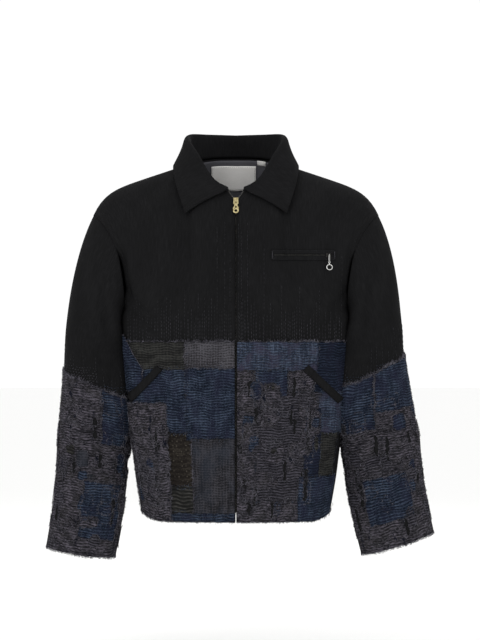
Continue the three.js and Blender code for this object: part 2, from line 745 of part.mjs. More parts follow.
// A flat outline in x and z, as thick as `depth`, with its middle at y = 0.
const plate = (shape, depth) =>
  new THREE.ExtrudeGeometry(shape, { depth, bevelEnabled: false, curveSegments: 8 })
    .translate(0, 0, -depth / 2)
    .rotateX(Math.PI / 2);

const roundedBar = (width, from, to) => {
  const r = width / 2;
  const shape = new THREE.Shape();
  shape.absarc(0, to - r, r, 0, Math.PI);
  shape.absarc(0, from + r, r, Math.PI, 2 * Math.PI);
  return shape;
};

// The arch over a slider, which a pull's crossbar lies under. It stands out from y = 0 to -height.
const archBarShare = 0.44; // of its height, where the middle of its opening is
function arch(length, height, thick) {
  const outline = new THREE.Shape();
  outline.moveTo(0, -length / 2);
  outline.lineTo(0, length / 2);
  outline.quadraticCurveTo(height * 1.1, length / 2, height, 0);
  outline.quadraticCurveTo(height * 1.1, -length / 2, 0, -length / 2);
  const inner = new THREE.Path();
  inner.ellipse(height * archBarShare, 0, height * 0.3, length * 0.32, 0, 2 * Math.PI, false);
  outline.holes.push(inner);
  return new THREE.ExtrudeGeometry(outline, { depth: thick, bevelEnabled: false, curveSegments: 6 })
    .translate(0, 0, -thick / 2)
    .rotateX(Math.PI / 2)
    .rotateZ(-Math.PI / 2);
}

const placed = (point, slope = 0) => {
  const group = new THREE.Group();
  group.position.copy(point);
  group.rotation.x = slope;
  jacket.add(group);
  return group;
};

// The front zip's slider: two plates joined by a post in the V of the teeth, with an arch in front.
const slider = {
  width: 8.4,
  height: 12,
  plate: 1.2,
  frontY: -0.7,
  backY: 3.6,
  postWidth: 2,
  postHeight: 3,
  postAt: 3.8,
  archLength: 7.5,
  archHeight: 3.4,
  archThick: 1.6,
};
const zipSlope = Math.atan2(centreFront(zip.sliderHeight + 5) - centreFront(zip.sliderHeight - 5), 10);
const sliderGroup = placed(vec(0, centreFront(zip.sliderHeight), zip.sliderHeight), -zipSlope);
const frontFace = slider.frontY - slider.plate;
const postDepth = slider.backY - slider.frontY + 1; // half a millimetre into each plate
const postY = (slider.backY + slider.frontY) / 2;
add(
  'main_slider',
  joined([
    block(slider.width, slider.plate, slider.height, 0, slider.frontY - slider.plate / 2),
    block(slider.width, slider.plate, slider.height - 2, 0, slider.backY + slider.plate / 2, 1),
    block(slider.postWidth, postDepth, slider.postHeight, 0, postY, slider.postAt),
    arch(slider.archLength, slider.archHeight, slider.archThick).translate(0, frontFace + 0.1, 0),
  ]),
  brass,
  sliderGroup,
);

// Its pull: a fork whose crossbar lies in the arch, and a tab with a slot and a round hole.
const pull = {
  axisY: frontFace + 0.1 - archBarShare * slider.archHeight,
  thick: 1.4,
  bar: 0.7,
  forkHalf: 1.6,
  neckHalf: 2.9,
  half: 4.8,
  fork: -6.5,
  shoulder: -9,
  widest: -13,
  bottom: -24,
  hole: 2.4,
  slot: 1.3,
};
function mainPull() {
  const shape = new THREE.Shape();
  shape.moveTo(-pull.neckHalf, pull.bar);
  shape.lineTo(-pull.neckHalf, pull.shoulder);
  shape.quadraticCurveTo(-pull.neckHalf, pull.widest + 2, -pull.half, pull.widest);
  shape.lineTo(-pull.half, pull.bottom + pull.half);
  shape.absarc(0, pull.bottom + pull.half, pull.half, Math.PI, 2 * Math.PI);
  shape.lineTo(pull.half, pull.widest);
  shape.quadraticCurveTo(pull.neckHalf, pull.widest + 2, pull.neckHalf, pull.shoulder);
  shape.lineTo(pull.neckHalf, pull.bar);
  shape.lineTo(pull.forkHalf, pull.bar);
  shape.lineTo(pull.forkHalf, pull.fork);
  shape.lineTo(-pull.forkHalf, pull.fork);
  shape.lineTo(-pull.forkHalf, pull.bar);
  const hole = new THREE.Path();
  hole.absarc(0, pull.bottom + pull.half, pull.hole, 0, 2 * Math.PI);
  const slot = new THREE.Path();
  slot.absarc(0, pull.widest + 1.4, pull.slot, 0, Math.PI);
  slot.absarc(0, pull.widest - 0.2, pull.slot, Math.PI, 2 * Math.PI);
  shape.holes.push(hole, slot);
  const barLength = 2 * pull.neckHalf - 0.4;
  const bar = new THREE.CylinderGeometry(pull.bar, pull.bar, barLength, 12).rotateZ(Math.PI / 2);
  return joined([plate(shape, pull.thick), bar]);
}
add('main_pull', mainPull(), brass, sliderGroup).position.y = pull.axisY;

// ---------------------------------------------------------------- the chest pocket

const chest = {
  from: 60,
  to: 170,
  height: -155,
  halfHeight: 10,
  rimSide: 4,
  slotHalf: 3.5,
  lift: 1.2,
  thick: 1.2,
  tapeLift: 0.6,
  steps: 8,
};

// A loop of places on the left front: along the bottom from left to right, and back along the top.
function loopOn(net, from, to, low, high, lift) {
  const xs = steps(chest.steps, from, to);
  const places = [...xs.map((x) => [x, low]), ...xs.map((x) => [x, high]).reverse()];
  return places.map(([x, z]) => lifted(spot(net, x, z), lift));
}
function chestWelt() {
  const [z, side] = [chest.height, chest.rimSide];
  const loops = (lift) => [
    loopOn(nets.frontLeft, chest.from, chest.to, z - chest.halfHeight, z + chest.halfHeight, lift),
    loopOn(nets.frontLeft, chest.from + side, chest.to - side, z - chest.slotHalf, z + chest.slotHalf, lift),
  ];
  return wall(loops(chest.lift + chest.thick), loops(chest.lift), true);
}
add('chest_pocket_welt', chestWelt(), blackDenim);

function stripOn(net, xs, zs, lift, thickness) {
  const at = (distance) => zs.map((z) => xs.map((x) => lifted(spot(net, x, z), distance)));
  return wall(at(lift + thickness), at(lift));
}
const chestTapeInset = chest.rimSide + seamGap;
const chestTapeXs = steps(chest.steps, chest.from + chestTapeInset, chest.to - chestTapeInset);
const chestTapeHalf = chest.slotHalf - 0.4;
const chestTapeZs = [chest.height - chestTapeHalf, chest.height + chestTapeHalf];
const chestTape = stripOn(nets.frontLeft, chestTapeXs, chestTapeZs, chest.tapeLift, cloth.tape);
add('chest_zip_tape', chestTape, brass);

// The chest zip's slider, with a link that hangs from its arch and a ring that hangs from the link.
const charm = {
  sliderX: 157,
  lift: 3.6,
  archLength: 6,
  archHeight: 3.2,
  archThick: 1.2,
  plateWidth: 9,
  plateThick: 1.6,
  plateHeight: 6.2,
  barY: -2.8,
  wire: 0.45,
  linkHalf: 1.6,
  linkTop: -0.2,
  linkLength: 10,
  eye: 1.5,
  play: 0.15, // between the link's wire and the eye's
  ringWire: 1,
  ringHalfWidth: 5.3,
  ringHalfHeight: 4.5,
};
const chestSpot = spot(nets.frontLeft, charm.sliderX, chest.height);
const chestGroup = placed(lifted(chestSpot, charm.lift));
const intoCloth = chestSpot.normal.clone().negate();
const across = vec(0, 0, 1).cross(intoCloth).negate().normalize();
chestGroup.quaternion.setFromRotationMatrix(
  new THREE.Matrix4().makeBasis(across, intoCloth, across.clone().cross(intoCloth)),
);
add(
  'chest_slider',
  joined([
    block(charm.plateWidth, charm.plateThick, charm.plateHeight, 0, charm.plateThick / 2, 0),
    arch(charm.archLength, charm.archHeight, charm.archThick).rotateY(Math.PI / 2).translate(0, 0.1, 0),
  ]),
  silver,
  chestGroup,
);

// A closed wire along a loop of points.
function wireLoop(points, radius, sides = 8) {
  const section = new THREE.Shape().absarc(0, 0, radius, 0, 2 * Math.PI);
  const path = new THREE.CatmullRomCurve3(points, true);
  const settings = { steps: points.length * 2, extrudePath: path, curveSegments: sides / 2 };
  return new THREE.ExtrudeGeometry(section, settings);
}
// A stadium of points: two half circles of radius `half`, with their middles at two heights.
function stadium(half, high, low, place) {
  const turns = steps(4, 0, Math.PI);
  const top = turns.map((a) => place(half * Math.cos(a), high + half * Math.sin(a)));
  const bottom = turns.map((a) => place(-half * Math.cos(a), low - half * Math.sin(a)));
  return [...top, ...bottom];
}
const linkBottom = charm.linkTop - charm.linkLength - charm.linkHalf;
const linkPoints = stadium(charm.linkHalf, 0, -charm.linkLength, (a, z) => vec(0, a, z));
const link = add('chest_link', wireLoop(linkPoints, charm.wire), silver, chestGroup);
link.position.set(0, charm.barY, charm.linkTop);

const eyeHeight = linkBottom + 2 * charm.wire + charm.play - charm.eye;
function chestRing() {
  const eye = new THREE.TorusGeometry(charm.eye, charm.wire, 8, 16);
  const neckBar = block(2, 1.2, 3.4).translate(0, 0, -charm.eye - 1.4);
  const ring = new THREE.TorusGeometry(1, charm.ringWire / charm.ringHalfWidth, 8, 24);
  ring.scale(charm.ringHalfWidth, charm.ringHalfHeight, charm.ringHalfWidth);
  ring.rotateX(Math.PI / 2).translate(0, 0, -charm.eye - 2.6 - charm.ringHalfHeight);
  return joined([eye.rotateX(Math.PI / 2), neckBar, ring]);
}
add('chest_ring', chestRing(), silver, chestGroup).position.set(0, charm.barY, eyeHeight);

// ---------------------------------------------------------------- the hand pockets' welts

const handPockets = {
  right: { net: nets.frontRight, top: [-129, -348], foot: [-180, -401] },
  left: { net: nets.frontLeft, top: [118, -348], foot: [177, -404] },
};
const handWelt = { halfWidth: 6.5, lift: 3.8, thick: 2, steps: 10 };
for (const [side, { net, top, foot }] of Object.entries(handPockets)) {
  const run = new THREE.Vector2(foot[0] - top[0], foot[1] - top[1]).normalize();
  const at = (lift) =>
    [-1, 1].map((edge) =>
      steps(handWelt.steps).map((k) => {
        const x = mix(top[0], foot[0], k) - edge * handWelt.halfWidth * run.y;
        const z = mix(top[1], foot[1], k) + edge * handWelt.halfWidth * run.x;
        return lifted(spot(net, x, z), lift);
      }),
    );
  add(`hand_pocket_welt_${side}`, wall(at(handWelt.lift + handWelt.thick), at(handWelt.lift)), blackDenim);
}

export default jacket;
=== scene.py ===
import math
import bpy
import numpy as np
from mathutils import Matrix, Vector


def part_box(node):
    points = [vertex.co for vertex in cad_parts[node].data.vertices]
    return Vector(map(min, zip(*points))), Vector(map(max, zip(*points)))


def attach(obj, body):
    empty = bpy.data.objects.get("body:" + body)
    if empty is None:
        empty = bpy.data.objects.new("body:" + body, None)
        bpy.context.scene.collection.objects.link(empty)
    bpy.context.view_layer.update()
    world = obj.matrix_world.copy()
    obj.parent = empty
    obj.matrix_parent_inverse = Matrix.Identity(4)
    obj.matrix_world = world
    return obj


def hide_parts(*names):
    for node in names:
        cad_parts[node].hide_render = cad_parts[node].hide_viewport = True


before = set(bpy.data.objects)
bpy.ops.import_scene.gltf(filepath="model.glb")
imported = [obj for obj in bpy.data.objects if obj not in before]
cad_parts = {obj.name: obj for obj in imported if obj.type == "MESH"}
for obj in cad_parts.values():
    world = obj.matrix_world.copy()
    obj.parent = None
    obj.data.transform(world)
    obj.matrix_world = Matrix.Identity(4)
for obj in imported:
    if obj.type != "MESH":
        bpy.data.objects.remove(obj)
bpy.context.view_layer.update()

bpy.ops.object.select_all(action="DESELECT")
mm = 0.001  # the sizes below are in millimetres, and a mesh is scaled once, when it is made

# The camera stands five metres in front, level with the middle of the chest.
view = {"place": (0.007, -5.0, -0.266), "lens": 160.7, "sensor": 36.0}
cameraData = bpy.data.cameras.new("studioCamera")
cameraData.lens = view["lens"]
cameraData.sensor_width = view["sensor"]
cameraData.clip_end = 50
camera = bpy.data.objects.new("studioCamera", cameraData)
camera.location = view["place"]
camera.rotation_euler = (math.radians(90), 0, 0)
bpy.context.scene.collection.objects.link(camera)
bpy.context.scene.camera = camera
bpy.context.scene.view_settings.view_transform = "Standard"


def linear(hexColour):
    parts = [int(hexColour[k:k + 2], 16) / 255 for k in (1, 3, 5)]
    return tuple(c / 12.92 if c <= 0.04045 else ((c + 0.055) / 1.055) ** 2.4 for c in parts) + (1.0,)


# Adds a node and gives one of its outputs. An input is either a value or another node's output,
# and a ramp has its stops.
def addNode(tree, kind, inputs=(), stops=(), output=0, **settings):
    node = tree.nodes.new("ShaderNode" + kind)
    for key, value in settings.items():
        setattr(node, key, value)
    for key, value in inputs.items() if isinstance(inputs, dict) else enumerate(inputs):
        if isinstance(value, bpy.types.NodeSocket):
            tree.links.new(value, node.inputs[key])
        else:
            node.inputs[key].default_value = value
    for k, (position, colour) in enumerate(stops):
        stop = node.color_ramp.elements[k] if k < 2 else node.color_ramp.elements.new(position)
        stop.position, stop.color = position, linear(colour)
    return node.outputs[output]


def newMaterial(name, colour, roughness, metallic=0.0, specular=0.5):
    material = bpy.data.materials.new(name)
    material.use_nodes = True
    shader = material.node_tree.nodes["Principled BSDF"]
    shader.inputs["Base Color"].default_value = linear(colour)
    shader.inputs["Roughness"].default_value = roughness
    shader.inputs["Metallic"].default_value = metallic
    shader.inputs["Specular IOR Level"].default_value = specular
    return material, material.node_tree, shader


# A woven cloth, on the piece's own cloth coordinates in metres. Several fields of 0 to 1 add up
# to how worn and pale each place is: fade over tens of millimetres, slubs in the yarn, woven or
# printed lines, and the puckers that rows of running stitches draw across it, painted darker in
# their valleys as shade and paler on their crowns as wear and painted light. A field is given
# as its size and its gain.
def wovenCloth(name, spec):
    dark, mid, light = spec["colours"]
    rough, gloss = spec.get("rough", 0.95), spec.get("gloss", 0.04)
    material, tree, shader = newMaterial(name, mid, rough, specular=gloss)
    place = addNode(tree, "UVMap", uv_map="cloth")

    def noise(across, up, detail=2.0):
        scale = (1000 / across, 1000 / up, 1)
        at = addNode(tree, "Mapping", {"Vector": place, "Scale": scale})
        return addNode(tree, "TexNoise", {"Vector": at, "Scale": 1.0, "Detail": detail, "Roughness": 0.6})

    def product(a, b):
        return addNode(tree, "Math", (a, b), operation="MULTIPLY")

    def total(parts):
        result = parts[0]
        for part in parts[1:]:
            result = addNode(tree, "Math", (result, part), operation="ADD")
        return result

    waver = addNode(tree, "TexNoise", {"Vector": place, "Scale": 1000 / spec.get("waveSize", 22),
                    "Detail": 1.0}, output="Color")
    centred = addNode(tree, "VectorMath", (waver, (0.5, 0.5, 0.5)), operation="SUBTRACT")
    shift = spec.get("waves", 0) * 2 * mm
    shifted = addNode(tree, "VectorMath", {0: centred, "Scale": shift}, operation="SCALE")
    bent = addNode(tree, "VectorMath", (place, shifted), operation="ADD")
    apart = addNode(tree, "SeparateXYZ", (bent,)).node.outputs

    def stripes(axis, pitch, share):
        turns = product(apart[axis], 1000 / pitch)
        saw = addNode(tree, "Math", (turns, 0.5), operation="PINGPONG")
        return addNode(tree, "MapRange", {"Value": saw, "From Min": share * 0.5, "From Max": share * 0.15})

    fade = noise(*spec.get("fade", (30, 30)), 4.0)
    slubs = noise(*spec["slubs"])
    fadeGain, slubGain = spec.get("fadeGain", 1.2), spec["slubGain"]
    wear = [product(fade, fadeGain), product(slubs, slubGain)]
    offset = 0.5 - 0.5 * fadeGain - 0.5 * slubGain
    heights = [product(slubs, 1.2)]
    for axis, pitch, share, gain, height in spec.get("lines", ()):
        line = stripes(axis, pitch, share)
        broken = product(line, product(fade, 2.0))
        wear.append(product(broken, gain))
        heights.append(product(line, height))
    # Rows paint shade into the valleys along the stitch lines, and paler wear and painted light onto the
    # crowns between them.
    if "rows" in spec:
        pitch, gain, height = spec["rows"]
        crownWearAndValleyShade = addNode(tree, "MapRange", {"Value": stripes(1, pitch, 0.72), "To Min": 1.0, "To Max": 0.0})
        wear.append(product(crownWearAndValleyShade, gain))
        offset -= gain * 0.62
        heights.append(product(crownWearAndValleyShade, height))
    wearAndValleyShade = total(wear + [offset])
    colour = addNode(tree, "ValToRGB", (wearAndValleyShade,), ((0.0, dark), (1.0, light), (0.5, mid)))
    overlays = []
    if "dots" in spec:
        pitch, size, dotColour = spec["dots"]
        cells = addNode(tree, "TexVoronoi", {"Vector": bent, "Scale": 1000 / pitch, "Randomness": 0.22})
        dot = addNode(tree, "MapRange", {"Value": cells, "From Min": size, "From Max": size * 0.5})
        overlays.append((dot, dotColour))
    if "tint" in spec:  # where the dye has turned, in soft upright drifts
        across, up, share, tintColour = spec["tint"]
        drift = addNode(tree, "MapRange", {"Value": noise(across, up, 2.0), "From Min": 0.46,
                        "From Max": 0.66, "To Max": share})
        overlays.append((drift, tintColour))
    if "slits" in spec:  # where the top cloth has worn through, upright like its warp
        across, up, share, slitColour = spec["slits"]
        gap = addNode(tree, "MapRange", {"Value": noise(across, up, 3.0), "From Min": share,
                      "From Max": share - 0.035})
        overlays.append((gap, slitColour))
    if "frays" in spec:  # loose pale threads that meander round the worn places
        size, share, frayColour = spec["frays"]
        level = product(noise(size, size, 3.0), 4.0)
        saw = addNode(tree, "Math", (level, 0.5), operation="PINGPONG")
        thread = addNode(tree, "MapRange", {"Value": saw, "From Min": share, "From Max": share * 0.3})
        broken = addNode(tree, "MapRange", {"Value": noise(6, 4), "From Min": 0.42, "From Max": 0.56})
        strands = product(thread, broken)
        overlays.append((strands, frayColour))
        heights.append(product(strands, 2.0))
    for factor, shade in overlays:
        colour = addNode(tree, "Mix", {0: factor, 6: colour, 7: linear(shade)}, output=2, data_type="RGBA")
    relief = addNode(tree, "Bump", {"Strength": spec.get("bump", 0.8), "Distance": 0.8 * mm,
                     "Height": total(heights)})
    tree.links.new(colour, shader.inputs["Base Color"])
    tree.links.new(relief, shader.inputs["Normal"])
    return material


rowPitch = 4.6  # between the rows of running stitches that pucker a cloth

# Sizes are in millimetres, and shares and gains have no unit. Fade and slubs are (across, up), lines
# are (axis, pitch, share, gain, height), rows are (pitch, gain, height), dots are (pitch, size,
# colour), tint and slits are (across, up, share, colour) and frays are (size, share, colour).
clothSpecs = {
    # Black cotton twill: matt, with faint upright slubs and a fine upright line.
    "blackTwill": {"colours": ("#101010", "#161617", "#1f1f20"), "fade": (60, 90), "fadeGain": 0.6,
                   "slubs": (1.9, 15), "slubGain": 1.1, "bump": 0.5},
    # Indigo-dyed cotton, washed and quilted: puckered in rows, with painted shade in the valleys and paler
    # crowns of wear and painted light.
    "navyCotton": {"colours": ("#0d1119", "#1c222e", "#414b5c"), "slubs": (7, 1.8), "slubGain": 1.5,
                   "fade": (22, 30), "fadeGain": 1.2, "waves": 3.4, "waveSize": 34,
                   "rows": (rowPitch, 0.44, 1.6), "lines": ((0, 8.5, 0.34, 0.13, 0.5),),
                   "tint": (24, 44, 0.6, "#212232"), "bump": 1.0},
    # The same indigo cloth with more of its dye left.
    "deepNavyCotton": {"colours": ("#0b0d14", "#151a25", "#2e3647"), "slubs": (6, 1.8), "slubGain": 1.3,
                       "fadeGain": 0.8, "waves": 2.0, "rows": (rowPitch, 0.4, 1.3),
                       "tint": (30, 60, 0.6, "#1a1b28"), "bump": 0.8},
    # The same indigo cloth bleached by washing.
    "paleNavyCotton": {"colours": ("#141922", "#262c39", "#4a5465"), "slubs": (5, 1.8), "slubGain": 1.6,
                       "fade": (14, 30), "waves": 2.4, "rows": (rowPitch, 0.3, 1.3),
                       "lines": ((0, 7.5, 0.32, 0.2, 0.4),), "tint": (26, 26, 0.7, "#33303f"), "bump": 0.9},
    # Charcoal cotton gauze, rubbed until its pale weft stands out in slubs and it is worn through.
    "frayedGrey": {"colours": ("#111115", "#2c2b2f", "#57535c"), "fade": (19, 15), "fadeGain": 1.6,
                   "slubs": (6, 1.9), "slubGain": 2.6, "waves": 2.6, "rows": (rowPitch, 0.34, 1.1),
                   "slits": (10, 26, 0.38, "#11131c"), "frays": (30, 0.05, "#58565d"),
                   "tint": (30, 24, 0.3, "#2b2a28"), "bump": 1.0},
    # The same gauze before it wore: its stitched rows are even, and few threads are loose.
    "quiltedGrey": {"colours": ("#161619", "#29282d", "#4b4951"), "fade": (24, 20), "fadeGain": 1.0,
                    "slubs": (7, 1.9), "slubGain": 1.8, "waves": 2.2, "rows": (rowPitch, 0.6, 1.5),
                    "slits": (7, 34, 0.36, "#12131b"), "bump": 1.0},
    # Plain grey cotton with a fine net of pale threads over it.
    "paleGrey": {"colours": ("#1e1d20", "#2a292c", "#4c4b50"), "slubs": (3, 2), "slubGain": 1.5,
                 "waves": 1.2, "lines": ((1, 4.4, 0.5, 0.35, 0.8), (0, 4.4, 0.4, 0.25, 0.6)),
                 "bump": 0.8},
    # Grey cotton woven in a small check.
    "checkedGrey": {"colours": ("#141416", "#1f1f22", "#3c3b40"), "slubs": (3, 2), "slubGain": 1.4,
                    "waves": 0.8, "fade": (16, 30), "fadeGain": 1.5,
                    "lines": ((1, 4.4, 0.44, 0.34, 0.6), (0, 5.2, 0.36, 0.26, 0.5)),
                    "tint": (40, 60, 0.5, "#252a33"), "bump": 0.8},
    # Dark olive cotton with thin pale stripes.
    "stripedOlive": {"colours": ("#131313", "#1a1a1a", "#373735"), "slubs": (6, 1.9), "slubGain": 1.0,
                     "waves": 0.45, "fade": (30, 14), "bump": 0.7,
                     "lines": ((1, 4.2, 0.36, 0.42, 0.8), (0, 6.0, 0.3, 0.16, 0.3))},
    # Brown-black cotton with a resist-dyed grid of small pale dots.
    "dottedBrown": {"colours": ("#131110", "#1e1b19", "#35312c"), "slubs": (4, 2), "slubGain": 1.5,
                    "waves": 1.0, "rows": (8.6, 0.2, 0.6), "dots": (8.6, 0.17, "#4a463f"), "bump": 0.7},
    # Olive-grey cotton in broad soft ribs, painted darker in their troughs as shade.
    "ribbedOlive": {"colours": ("#161616", "#232322", "#3f3e3c"), "slubs": (9, 1.8), "slubGain": 1.6,
                    "waves": 1.6, "rows": (6.2, 0.5, 1.8), "bump": 1.0},
    # Charcoal cotton lining, smooth and plain.
    "charcoalLining": {"colours": ("#48484c", "#55555a", "#64646a"), "slubs": (2, 2), "slubGain": 0.6,
                       "fadeGain": 0.4, "bump": 0.3},
    # Off-white satin tape, smooth, with a faint weft.
    "whiteTape": {"colours": ("#e6e4e0", "#f1efec", "#fbfaf8"), "slubs": (6, 1), "slubGain": 0.7,
                  "fadeGain": 0.4, "bump": 0.2, "rough": 0.6, "gloss": 0.3},
    # Black polyester zip tape, closely woven.
    "zipTape": {"colours": ("#101011", "#161617", "#232324"), "slubs": (1.4, 3), "slubGain": 1.0,
                "fadeGain": 0.4, "bump": 0.5, "gloss": 0.1},
}
cloths = {name: wovenCloth(name, spec) for name, spec in clothSpecs.items()}


# Cotton thread: matt, and uneven in tone along its length.
def threadMaterial(name, dark, light):
    material, tree, shader = newMaterial(name, light, 0.9, specular=0.1)
    place = addNode(tree, "TexCoord", output="Object")
    tone = addNode(tree, "TexNoise", {"Vector": place, "Scale": 90.0, "Detail": 4.0})
    colour = addNode(tree, "ValToRGB", (tone,), ((0.36, dark), (0.64, light)))
    tree.links.new(colour, shader.inputs["Base Color"])
    return material


# Plated or solid metal: cast, tumbled and polished, so its gloss is broken by fine wear.
def metalMaterial(name, dark, light, roughness):
    material, tree, shader = newMaterial(name, light, roughness, metallic=1.0)
    place = addNode(tree, "TexCoord", output="Object")
    wear = addNode(tree, "TexNoise", {"Vector": place, "Scale": 420.0, "Detail": 5.0})
    colour = addNode(tree, "ValToRGB", (wear,), ((0.35, dark), (0.6, light)))
    gloss = addNode(tree, "MapRange", {"Value": wear, "To Min": roughness * 0.7,
                    "To Max": roughness * 1.6})
    scratch = addNode(tree, "Bump", {"Strength": 0.15, "Distance": 0.0001, "Height": wear})
    tree.links.new(colour, shader.inputs["Base Color"])
    tree.links.new(gloss, shader.inputs["Roughness"])
    tree.links.new(scratch, shader.inputs["Normal"])
    return material


threads = {
    "paleThread": threadMaterial("paleCottonThread", "#403e46", "#706e78"),
    "greyThread": threadMaterial("greyCottonThread", "#343438", "#545359"),
    "dimThread": threadMaterial("dimGreyCottonThread", "#262628", "#3c3c40"),
    "blueThread": threadMaterial("blueCottonThread", "#2b3341", "#4a5568"),
    "blackThread": threadMaterial("blackCottonThread", "#161617", "#262627"),
}
metals = {
    "brass": metalMaterial("polishedBrass", "#8c7d54", "#c4b88d", 0.32),
    "toothMetal": metalMaterial("antiqueNickel", "#4a4946", "#85837d", 0.38),
    "darkNickel": metalMaterial("blackenedNickel", "#1d1d1c", "#3a3937", 0.45),
    "nickel": metalMaterial("brightNickel", "#b5b5b2", "#dededb", 0.2),
}

# The studio: a pale paper floor, white all round, and three soft boxes.
floorHeight = -0.86
floorMaterial = newMaterial("palePaperBackdrop", "#f8f8f7", 0.95, specular=0.2)[0]
bpy.ops.mesh.primitive_plane_add(size=40, location=(0, 0, floorHeight))
floor = bpy.context.active_object
floor.name = "floor"
floor.data.materials.append(floorMaterial)
bpy.ops.object.transform_apply(location=True, rotation=True, scale=True)

world = bpy.data.worlds.new("studioWorld")
bpy.context.scene.world = world
world.use_nodes = True
world.node_tree.nodes["Background"].inputs["Color"].default_value = (1, 1, 1, 1)
world.node_tree.nodes["Background"].inputs["Strength"].default_value = 1.03

softBoxes = {
    "keyLight": {"place": (-1.6, -3.0, 1.3), "size": 1.6, "power": 26},
    "fillLight": {"place": (1.9, -2.8, 0.6), "size": 1.8, "power": 10},
    "rimLight": {"place": (0.4, 2.4, 1.8), "size": 2.0, "power": 18},
}
for name, box in softBoxes.items():
    lightData = bpy.data.lights.new(name, "AREA")
    lightData.shape = "SQUARE"
    lightData.size = box["size"]
    lightData.energy = box["power"]
    light = bpy.data.objects.new(name, lightData)
    light.location = box["place"]
    aim = np.array([0, 0, -0.3]) - np.array(box["place"])
    flat = math.hypot(aim[0], aim[1])
    light.rotation_euler = (math.atan2(flat, -aim[2]), 0, math.atan2(-aim[0], aim[1]))
    bpy.context.scene.collection.objects.link(light)
print("studio ready")


# The jacket's form follows, in millimetres, on the same curves as its panels are cut to.
def mix(a, b, share):
    return a + (b - a) * share


def bump(x, centre, width):
    return np.exp(-((x - centre) / width) ** 2)


def bell(share):
    share = np.clip(share, 0, 1)
    return share * share * (3 - 2 * share)


def unit(vectors):
    return vectors / np.maximum(np.linalg.norm(vectors, axis=-1, keepdims=True), 1e-9)


# How far along a line each of its points is.
def runOf(line):
    return np.concatenate([[0], np.cumsum(np.hypot(*np.diff(line, axis=0).T))])


def alongLine(at, run, line):
    return np.stack([np.interp(at, run, line[:, k]) for k in (0, 1)], 1)


bodySizes = {"hem": -611, "armpit": -262, "middle": 5, "hemHalf": 165, "chestHalf": 205,
             "hemDepth": {-1: 142, 1: 118}, "chestDepth": {-1: 136, 1: 128}, "squareness": 2.5}
neckSizes = {"half": 80, "side": 8, "top": {-1: -44, 1: 21}, "depth": {-1: 93, 1: 77},
             "curve": {-1: 2.2, 1: 2.4}, "share": {-1: 3 / 8, 1: 3 / 7},
             "power": {-1: 1.55, 1: 3}}
armholeSizes = {"side": 200, "bottom": 205, "tip": 250, "tipHeight": -83, "depth": {-1: 80, 1: 90},
                "topPower": 0.85, "straight": 0.62, "roundPower": 9, "fullness": {-1: 15, 1: 11}}
zipSizes = {"edge": 0.6, "openWidth": 13, "openFrom": -66, "slider": -62, "bottom": 14}
hem, armpit, middle = bodySizes["hem"], bodySizes["armpit"], bodySizes["middle"]
quarterTurn = np.linspace(0, math.pi / 2, 241)


def riseOf(z):
    return np.clip((z - hem) / (armpit - hem), 0, 1)


def centreDepth(face, z):
    top = neckSizes["top"][face]
    low = mix(bodySizes["hemDepth"][face], bodySizes["chestDepth"][face], riseOf(z))
    climb = np.clip((z - armpit) / (top - armpit), 0, 1)
    high = mix(bodySizes["chestDepth"][face], neckSizes["depth"][face], climb ** neckSizes["curve"][face])
    return middle + face * np.where(z <= armpit, low, high)


def frontEdge(z):
    opening = neckSizes["top"][-1] + 2 - zipSizes["openFrom"]
    return zipSizes["edge"] + zipSizes["openWidth"] * bell((z - zipSizes["openFrom"]) / opening)


def lowerRow(face, z, shares, start=None):
    width = mix(bodySizes["hemHalf"], bodySizes["chestHalf"], riseOf(z) ** 0.85)
    depth = float(centreDepth(face, z)) - middle
    power = 2 / bodySizes["squareness"]
    x = width * np.sin(quarterTurn) ** power
    y = middle + depth * np.cos(quarterTurn) ** power
    run = runOf(np.stack([x, y], 1))
    if start is not None:
        shares = mix(start / run[-1], 1 - 0.15 / run[-1], shares)
    level = riseOf(z)
    flutes = bell(1 - level) * (5 * bump(shares, 0.5, 0.1) - 4 * bump(shares, 0.68, 0.08))
    at = shares * run[-1]
    y = np.interp(at, run, y) + face * flutes
    return np.stack([np.interp(at, run, x), y, np.full_like(shares, z)], -1), run[-1]


def armholePoint(angle, depth):
    c, s = np.cos(angle), np.sin(angle)
    high = (armholeSizes["tipHeight"] - armpit) / 2
    across = mix(armholeSizes["bottom"], armholeSizes["tip"], (1 + c) / 2)
    swing = (armholeSizes["bottom"] + armholeSizes["tip"]) / 2 - armholeSizes["side"]
    x = across - swing * np.abs(s) ** 1.4
    z = armpit + high + high * np.sign(c) * np.abs(c) ** armholeSizes["topPower"]
    return np.stack([x, middle + depth * s, z], -1)


def topEdge(face, shares, neckShare):
    angle = np.clip(shares / neckShare, 0, 1) * math.pi / 2
    along = np.sin(angle)
    top, half, side = neckSizes["top"][face], neckSizes["half"], neckSizes["side"]
    neckline = np.stack([half * along, middle + face * neckSizes["depth"][face] * np.cos(angle),
                         mix(top, side, along ** neckSizes["power"][face])], -1)
    x = np.clip((shares - neckShare) / (1 - neckShare), 0, 1)
    fall = armholeSizes["straight"] * x + (1 - armholeSizes["straight"]) * x ** armholeSizes["roundPower"]
    seam = np.stack([mix(half, armholeSizes["tip"], x), np.full_like(x, middle),
                     mix(side, armholeSizes["tipHeight"], fall)], -1)
    return np.where((shares < neckShare)[:, None], neckline, seam)


def upperRow(face, q, shares, neckShare):
    top = neckSizes["top"][face]
    chest, _ = lowerRow(face, armpit, shares)
    points = chest * (1 - q) + topEdge(face, shares, neckShare) * q

    def centreLine(k):
        z = mix(armpit, top, k)
        return np.array([0, float(centreDepth(face, z)), z])

    def armLine(k):
        return armholePoint(math.pi * (1 - k), face * armholeSizes["depth"][face])

    for line, weight in ((centreLine, 1 - shares), (armLine, shares)):
        points += weight[:, None] * (line(q) - (1 - q) * line(0) - q * line(1))
    full = armholeSizes["fullness"][face] * math.sin(math.pi * q ** 1.5) * np.sin(math.pi * shares)
    points[:, 1] += face * 0.8 * full
    points[:, 2] += 0.5 * full
    return points


